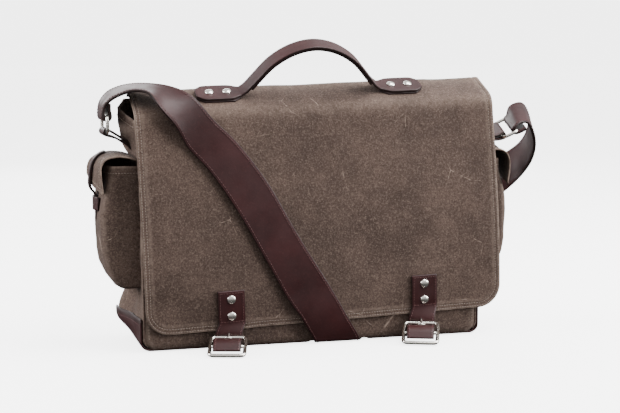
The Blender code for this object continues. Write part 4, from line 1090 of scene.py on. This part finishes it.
def short_strap_stations():
    route = [(-34.0, -4.7), (-26.0, -4.6), (-20.0, -4.5), (-13.0, -1.0), (-6.0, 2.9)]
    turn = np.radians((90, 45, 0, -45, -90))
    route += [(STRAP_WRAP * math.cos(a), STRAP_WRAP * math.sin(a)) for a in turn]
    route += [(-8.0, -6.9), (-16.0, -8.6), (-30.0, -8.7), (-46.0, -8.6), (-62.0, -8.2)]
    threaded = in_buckle(adjuster_place(), route, STRAP_HALF)
    stations = [(middle, -across, half) for middle, across, half in threaded]
    stations += [edge_station(front, back) for front, back in reversed(RIGHT_LOOP)]
    ring = right_ring_place()
    stations += round_bar(ring, RING_HALF_GAP, 270, 90, STRAP_WRAP, STRAP_HALF)
    end = at(ring, (0, RING_HALF_GAP + 12.0, STRAP_WRAP + 0.3))
    return stations + [(end, direction(ring, (1, 0, 0)), STRAP_HALF)]


def ring_tab_stations(side, place):
    """Up the outside of the soft gusset, round the ring's lower bar and down again inside."""
    wrap = WIRE + GAP + RING_TAB_THICKNESS / 2
    low_bar = at(place, (0, -RING_HALF_GAP, 0))
    bar_across = direction(place, (1, 0, 0))
    across = np.array((0.0, 1.0, 0.0))
    reach = abs(low_bar[0]) - RING_TAB_X

    def station(share, z, inside):
        """A place whose share runs from 0 on the gusset to 1 at the bar."""
        turn = unit(across * (1 - share) + bar_across * share)
        x = side * (RING_TAB_X + reach * share - inside)
        return np.array((x, low_bar[1] * share, z)), turn, RING_TAB_HALF

    outside = ((0.05, 231.0), (0.22, 236.5), (0.45, 241.5), (0.7, low_bar[2] - 6.2))
    inside = ((0.72, low_bar[2] - 1.4), (0.47, 245.3), (0.24, 240.3), (0.07, 234.8))
    stations = [station(share, z, 0.0) for share, z in outside]
    for a in np.radians((-90, -45, 0, 45, 90, 135)):
        spot = low_bar + np.array((side * wrap * math.cos(a), 0.0, wrap * math.sin(a)))
        stations.append((spot, bar_across, RING_TAB_HALF))
    return stations + [station(share, z, 0.8) for share, z in inside]


def strap_thread(name, route, start, stop):
    rows = [(edge, face) for edge in (-1, 1) for face in (-1.0, 1.0)]
    lines = [strap_edge_line(route, STRAP_THICKNESS, 3.2, edge, 8, face, start, stop) for edge, face in rows]
    return stitches(name, lines, 3.6, 2.7, 0.32, LEATHER_THREAD, None)


def build_straps():
    outline = rounded_rectangle(RING_HALF_LENGTH, RING_HALF_GAP, 4.5)
    for (side, label), place in zip(SIDES, (left_ring_place(), right_ring_place())):
        wire = tube(f"{label}_ring_wire", outline, WIRE, True, place)
        finish_piece(wire, f"{label}_strap_ring", NICKEL, f"{label}_ring")
        tab = strap(f"{label}_ring_leather", ring_tab_stations(side, place), RING_TAB_THICKNESS, 4)
        finish_piece(tab, "bag", LEATHER, f"{label}_ring_tab")
    long_route, short_route = long_strap_stations(), short_strap_stations()
    long_part = strap("strap_long_leather", long_route, STRAP_THICKNESS, 8)
    short_part = strap("strap_short_leather", short_route, STRAP_THICKNESS, 8)
    finish_piece(long_part, None, LEATHER, "shoulder_strap_long")
    finish_piece(short_part, None, LEATHER, "shoulder_strap_short")
    long_thread = strap_thread("strap_long_stitching", long_route, 0.12, 0.9)
    short_thread = strap_thread("strap_short_stitching", short_route, 0.15, 0.93)
    for piece in (long_part, long_thread):
        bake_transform(piece)
    for piece in (short_part, short_thread):
        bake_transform(piece)
    place = adjuster_place()
    build_buckle("adjuster", place, 28.0, "bag", "adjuster_tongue", "adjuster_frame", "adjuster_prong")


# ---------------------------------------------------------------- side pockets

# How far out the pocket's outer face stands at a height, whose bottom is rounded.
POCKET_FACE = [
    (226.0, 74), (232.5, 78), (238.5, 86), (243.5, 98),
    (246.5, 115), (247.5, 150), (246.0, 185), (244.0, 214),
]
# The lid's profile from the gusset out and down, as (x, z).
LID_PROFILE = [
    (208.3, 223.5), (218, 226.3), (232, 227.2), (243.5, 224.2),
    (250.5, 216.5), (253.6, 205.0), (254.5, 191.0),
]


def pocket_loop(side, z):
    """The pocket's U-shaped section at one height, from the front seam out and round to the back seam."""
    out = float(face_y(POCKET_FACE, z))
    corner = 9.0
    pull = 6.0 * float(fade(z, 160, 205))
    bend = [(corner * (1 - math.sin(a)), corner * (1 - math.cos(a))) for a in np.radians((15, 35, 55, 75))]
    across = np.linspace(POCKET_FRONT + corner, POCKET_BACK - corner, 16)
    line = [(x, POCKET_FRONT) for x in np.linspace(POCKET_SEAM, out - corner - pull, 12)]
    line += [(out - pull - x, POCKET_FRONT + y) for x, y in bend]
    line += [(out - pull * (1 - t), y) for t, y in zip(np.linspace(0, 1, 16), across)]
    line += [(out - y, POCKET_BACK - x) for x, y in bend]
    line += [(x, POCKET_BACK) for x in np.linspace(out - corner, POCKET_SEAM, 12)]
    hollow = float(fade(z, 80, 120)) * (1 - 0.5 * float(fade(z, 180, POCKET_RIM)))
    sway = 0.7 + 0.3 * math.sin(z / 23.0)
    points = []
    for x, y in line:
        middle = np.clip((x - 206.0) / max(out - 206.0, 1), 0, 1)
        sink = 3.2 * math.sin(math.pi * middle) ** 2 * hollow
        inward = sink if y < -20 else (-sink if y > 20 else 0.0)
        puff = 2.2 * bell(y - POCKET_MIDDLE, 22.0) * float(fade(z, 84, 130)) if middle > 0.85 else 0.0
        fold = 0.8 * float(ripple(x * 1.4, z + y, 38.0, 6.0 + side))
        rim = 9.0 * float(fade(y, -14, 34)) * float(fade(z, 184, POCKET_RIM))
        points.append((side * (x + puff + fold * middle * 0.6), y + inward * sway, z + rim))
    return points


def build_pocket_pouch(label, side):
    heights = np.concatenate([np.linspace(POCKET_FLOOR, 100, 14)[:-1], np.linspace(100, POCKET_RIM, 44)])
    points = np.array([pocket_loop(side, z) for z in heights])
    if side > 0:
        points = points[:, ::-1]
    corner = np.zeros(points.shape[1])
    corner[[13, 14, 33, 34]] = 0.3
    wear = np.clip(bell(POCKET_RIM - heights, 2.5)[:, None] * 0.8 + corner[None, :], 0, 1)
    pouch = cloth_grid(f"{label}_pouch_canvas", points, 1.8, wear)
    finish_piece(pouch, "bag", CANVAS, f"{label}_pocket_body")
    middle = np.array((side * 206.5, POCKET_MIDDLE, POCKET_FLOOR))
    down = np.array((0, 0, 1.0))
    shares = (1.0, 0.85, 0.6, 0.3, 0.05)
    rings = [middle + (points[0] - middle) * t - down * math.sin(math.pi * t) for t in shares]
    finish_piece(cloth_grid(f"{label}_pouch_bottom", np.array(rings), 1.8), "bag", CANVAS)
    rim = points[-4]
    centre = np.array((side * 215.0, POCKET_MIDDLE, rim[0][2]))
    line = [(p + unit(p - centre) * 0.95, unit(p - centre)) for p in rim[2:-2]]
    stitches(f"{label}_pouch_stitching", [line], 3.3, 2.4, 0.32, CANVAS_THREAD, "bag")


def pocket_flap_grid(side):
    profile = smooth(LID_PROFILE, 8)
    along = running_length(profile)
    depths = dense_edges(LID_HALF, 8.0, 1.2, 2.6) * LID_HALF + POCKET_MIDDLE
    points = []
    for (x, z), s in zip(profile, along):
        share = float(fade(s, along[-1] * 0.45, along[-1]))
        row = []
        for y in depths:
            t = (y - POCKET_MIDDLE) / LID_HALF
            pull = 7.5 * share * max(0.0, -t)
            droop = 2.2 * abs(t) ** 3 * (1 - share)
            wave = 0.7 * float(ripple(y, s, 34.0, 7.0 + side)) * float(fade(abs(t), 0.22, 0.5))
            height = z + share * t * 9.0 - droop - abs(wave) * (1 - share)
            row.append((side * (x - pull + wave * share), y, height))
        points.append(row)
    return np.array(points), along, depths


def build_pocket_flap(label, side):
    points, along, depths = pocket_flap_grid(side)
    edge = np.minimum((along[-1] - along)[:, None], (LID_HALF - np.abs(depths - POCKET_MIDDLE))[None, :])
    wear = np.clip(bell(edge, 2.0) * 0.85 + bell(edge - 6, 2.0) * 0.3, 0, 1)
    if side > 0:
        points, wear = points[:, ::-1], wear[:, ::-1]
    flap = cloth_grid(f"{label}_pocket_lid_canvas", points, 1.8, wear)
    finish_piece(flap, f"{label}_pocket_lid", CANVAS, f"{label}_pocket_flap")
    rows, columns = points.shape[:2]
    inset = 5
    route = [(r, inset) for r in range(3, rows - 4)] + [(rows - 4, c) for c in range(inset, columns - inset)]
    route += [(r, columns - 1 - inset) for r in range(rows - 4, 2, -1)]
    line = []
    for r, c in route:
        down = points[min(r + 1, rows - 1), c] - points[r - 1, c]
        over = points[r, min(c + 1, columns - 1)] - points[r, c - 1]
        out = unit(np.cross(over, down))
        out = out if out[0] * side + out[2] > 0 else -out
        line.append((points[r, c] + out * 0.95, out))
    name, body = f"{label}_pocket_lid_stitching", f"{label}_pocket_lid"
    thread = stitches(name, [line], 3.2, 2.3, 0.32, CANVAS_THREAD, body)


def build_pocket_tab(label, side):
    profile = smooth(LID_PROFILE, 2)
    run = unit_rows(np.gradient(profile, axis=0))
    path = profile + np.column_stack([-run[:, 1], run[:, 0]]) * 2.65
    face = BODY_HALF + 40.5 + 2.5 + GAP + 1.3
    line = [*path[5:], (face + 5.6, 185.5), (face + 2.0, 181.0)]
    line += [(face, z) for z in (175.0, 165.0, 156.0, 151.5, 149.6)]
    halves = [7.0] * (len(line) - 2) + [6.0, 3.6]
    stations = [(np.array((side * x, POCKET_MIDDLE, z)), (0, 1, 0), h) for (x, z), h in zip(line, halves)]
    tab = strap(f"{label}_pocket_tab_leather", stations, 2.5, 4)
    finish_piece(tab, f"{label}_pocket_lid", LEATHER, f"{label}_pocket_tab")
    lines = [strap_edge_line(stations, 2.5, 1.7, edge, 4, float(side), 0.02, 0.95) for edge in (-1, 1)]
    stitches(f"{label}_pocket_tab_stitching", lines, 3.0, 2.1, 0.26, LEATHER_THREAD, f"{label}_pocket_lid")
    near, far = face - 0.3, face + 2.65
    half = [(-20, near), (-14, near), (-10.5, far - 1.0), (-8.0, far)]
    route = half + [(-y, x) for y, x in reversed(half)]
    keeper = [(np.array((side * x, y + POCKET_MIDDLE, 169.5)), (0, 0, 1), 8.0) for y, x in route]
    loop = strap(f"{label}_keeper_leather", keeper, 2.0, 4)
    finish_piece(loop, "bag", LEATHER, f"{label}_pocket_keeper")


# ---------------------------------------------------------------- stage

# The backdrop is a plain glow that the camera sees and the bag doesn't reflect.
FLOOR_HALF = 29.0
DOME_RADIUS = 30.0


def stage_piece(name, mesh, material):
    mesh.materials.append(material)
    piece = add_object(name, mesh)
    piece.visible_diffuse = piece.visible_glossy = False
    return piece


def build_floor():
    mesh = bpy.data.meshes.new("floor")
    corners = [(x * FLOOR_HALF, y * FLOOR_HALF, 0) for x, y in ((-1, -1), (1, -1), (1, 1), (-1, 1))]
    mesh.from_pydata(corners, [], [(0, 1, 2, 3)])
    pale = Shades("pale_floor", 0.7)
    pale.set("Base Color", colour(0.9, 0.9, 0.9))
    pale.set("Specular IOR Level", 0.1)
    pale.set("Emission Color", colour(1.0, 1.0, 1.0))
    pale.set("Emission Strength", BACKDROP - 0.8)
    stage_piece("floor", mesh, pale.material)


def build_dome():
    glow = bpy.data.materials.new("backdrop")
    glow.use_nodes = True
    nodes = glow.node_tree.nodes
    nodes.clear()
    shine = nodes.new("ShaderNodeEmission")
    shine.inputs["Strength"].default_value = BACKDROP
    output = nodes.new("ShaderNodeOutputMaterial")
    glow.node_tree.links.new(shine.outputs[0], output.inputs["Surface"])
    shape = bmesh.new()
    bmesh.ops.create_uvsphere(shape, u_segments=48, v_segments=24, radius=DOME_RADIUS)
    mesh = bpy.data.meshes.new("backdrop")
    shape.to_mesh(mesh)
    shape.free()
    stage_piece("backdrop", mesh, glow).visible_shadow = False


def build_world():
    """A white surround that is dim below the horizon."""
    world = bpy.data.worlds.new("studio")
    world.use_nodes = True
    nodes, links = world.node_tree.nodes, world.node_tree.links
    surround = nodes["Background"].inputs
    surround["Color"].default_value = colour(1.0, 1.0, 1.0)
    outward = nodes.new("ShaderNodeTexCoord")
    height = nodes.new("ShaderNodeSeparateXYZ")
    dusk = nodes.new("ShaderNodeMapRange")
    for key, value in (("From Min", -0.3), ("From Max", 0.35), ("To Min", 0.1), ("To Max", 1.0)):
        dusk.inputs[key].default_value = value
    links.new(outward.outputs["Generated"], height.inputs[0])
    links.new(height.outputs["Z"], dusk.inputs["Value"])
    links.new(dusk.outputs["Result"], surround["Strength"])
    bpy.context.scene.world = world


# Each light as (name, place, target, size, power).
LIGHTS = (
    ("overhead", (0.65, -0.4, 1.9), (0.0, -0.02, 0.15), (1.6, 1.2), 58.0),
    ("left_side", (-1.9, 0.25, 0.8), (-0.1, 0.0, 0.2), (1.1, 1.1), 48.0),
    ("front", (2.1, -1.3, 1.0), (0.05, 0.0, 0.2), (1.0, 1.0), 54.0),
    ("right_side", (1.9, -0.2, 0.9), (0.1, 0.0, 0.2), (1.2, 1.2), 24.0),
    ("behind", (0.0, 2.2, 1.1), (0.0, 0.0, 0.2), (1.8, 1.2), 24.0),
)


def add_light(name, place, target, size, power):
    light = bpy.data.lights.new(name, "AREA")
    light.shape = "RECTANGLE"
    light.size, light.size_y = size
    light.energy = power
    holder = add_object(name, light)
    holder.visible_camera = False
    holder.location = place
    holder.rotation_euler = (Vector(target) - Vector(place)).to_track_quat("-Z", "Y").to_euler()


def build_camera():
    view = bpy.data.cameras.new("camera")
    view.lens = 77.8
    view.sensor_width = 36.0
    holder = add_object("camera", view)
    holder.location = (-0.417, -1.556, 0.345)
    holder.rotation_euler = (math.radians(90 - 6.66), 0.0, math.radians(-15.27))
    bpy.context.scene.camera = holder


build_camera()
build_flap()
build_body()
build_base()
build_handle()
for closure in BUCKLES:
    build_closure(closure)
build_straps()
for pocket_side, pocket_label in SIDES:
    build_pocket_pouch(pocket_label, pocket_side)
    build_pocket_flap(pocket_label, pocket_side)
    build_pocket_tab(pocket_label, pocket_side)
build_floor()
build_dome()
build_world()
for light_row in LIGHTS:
    add_light(*light_row)
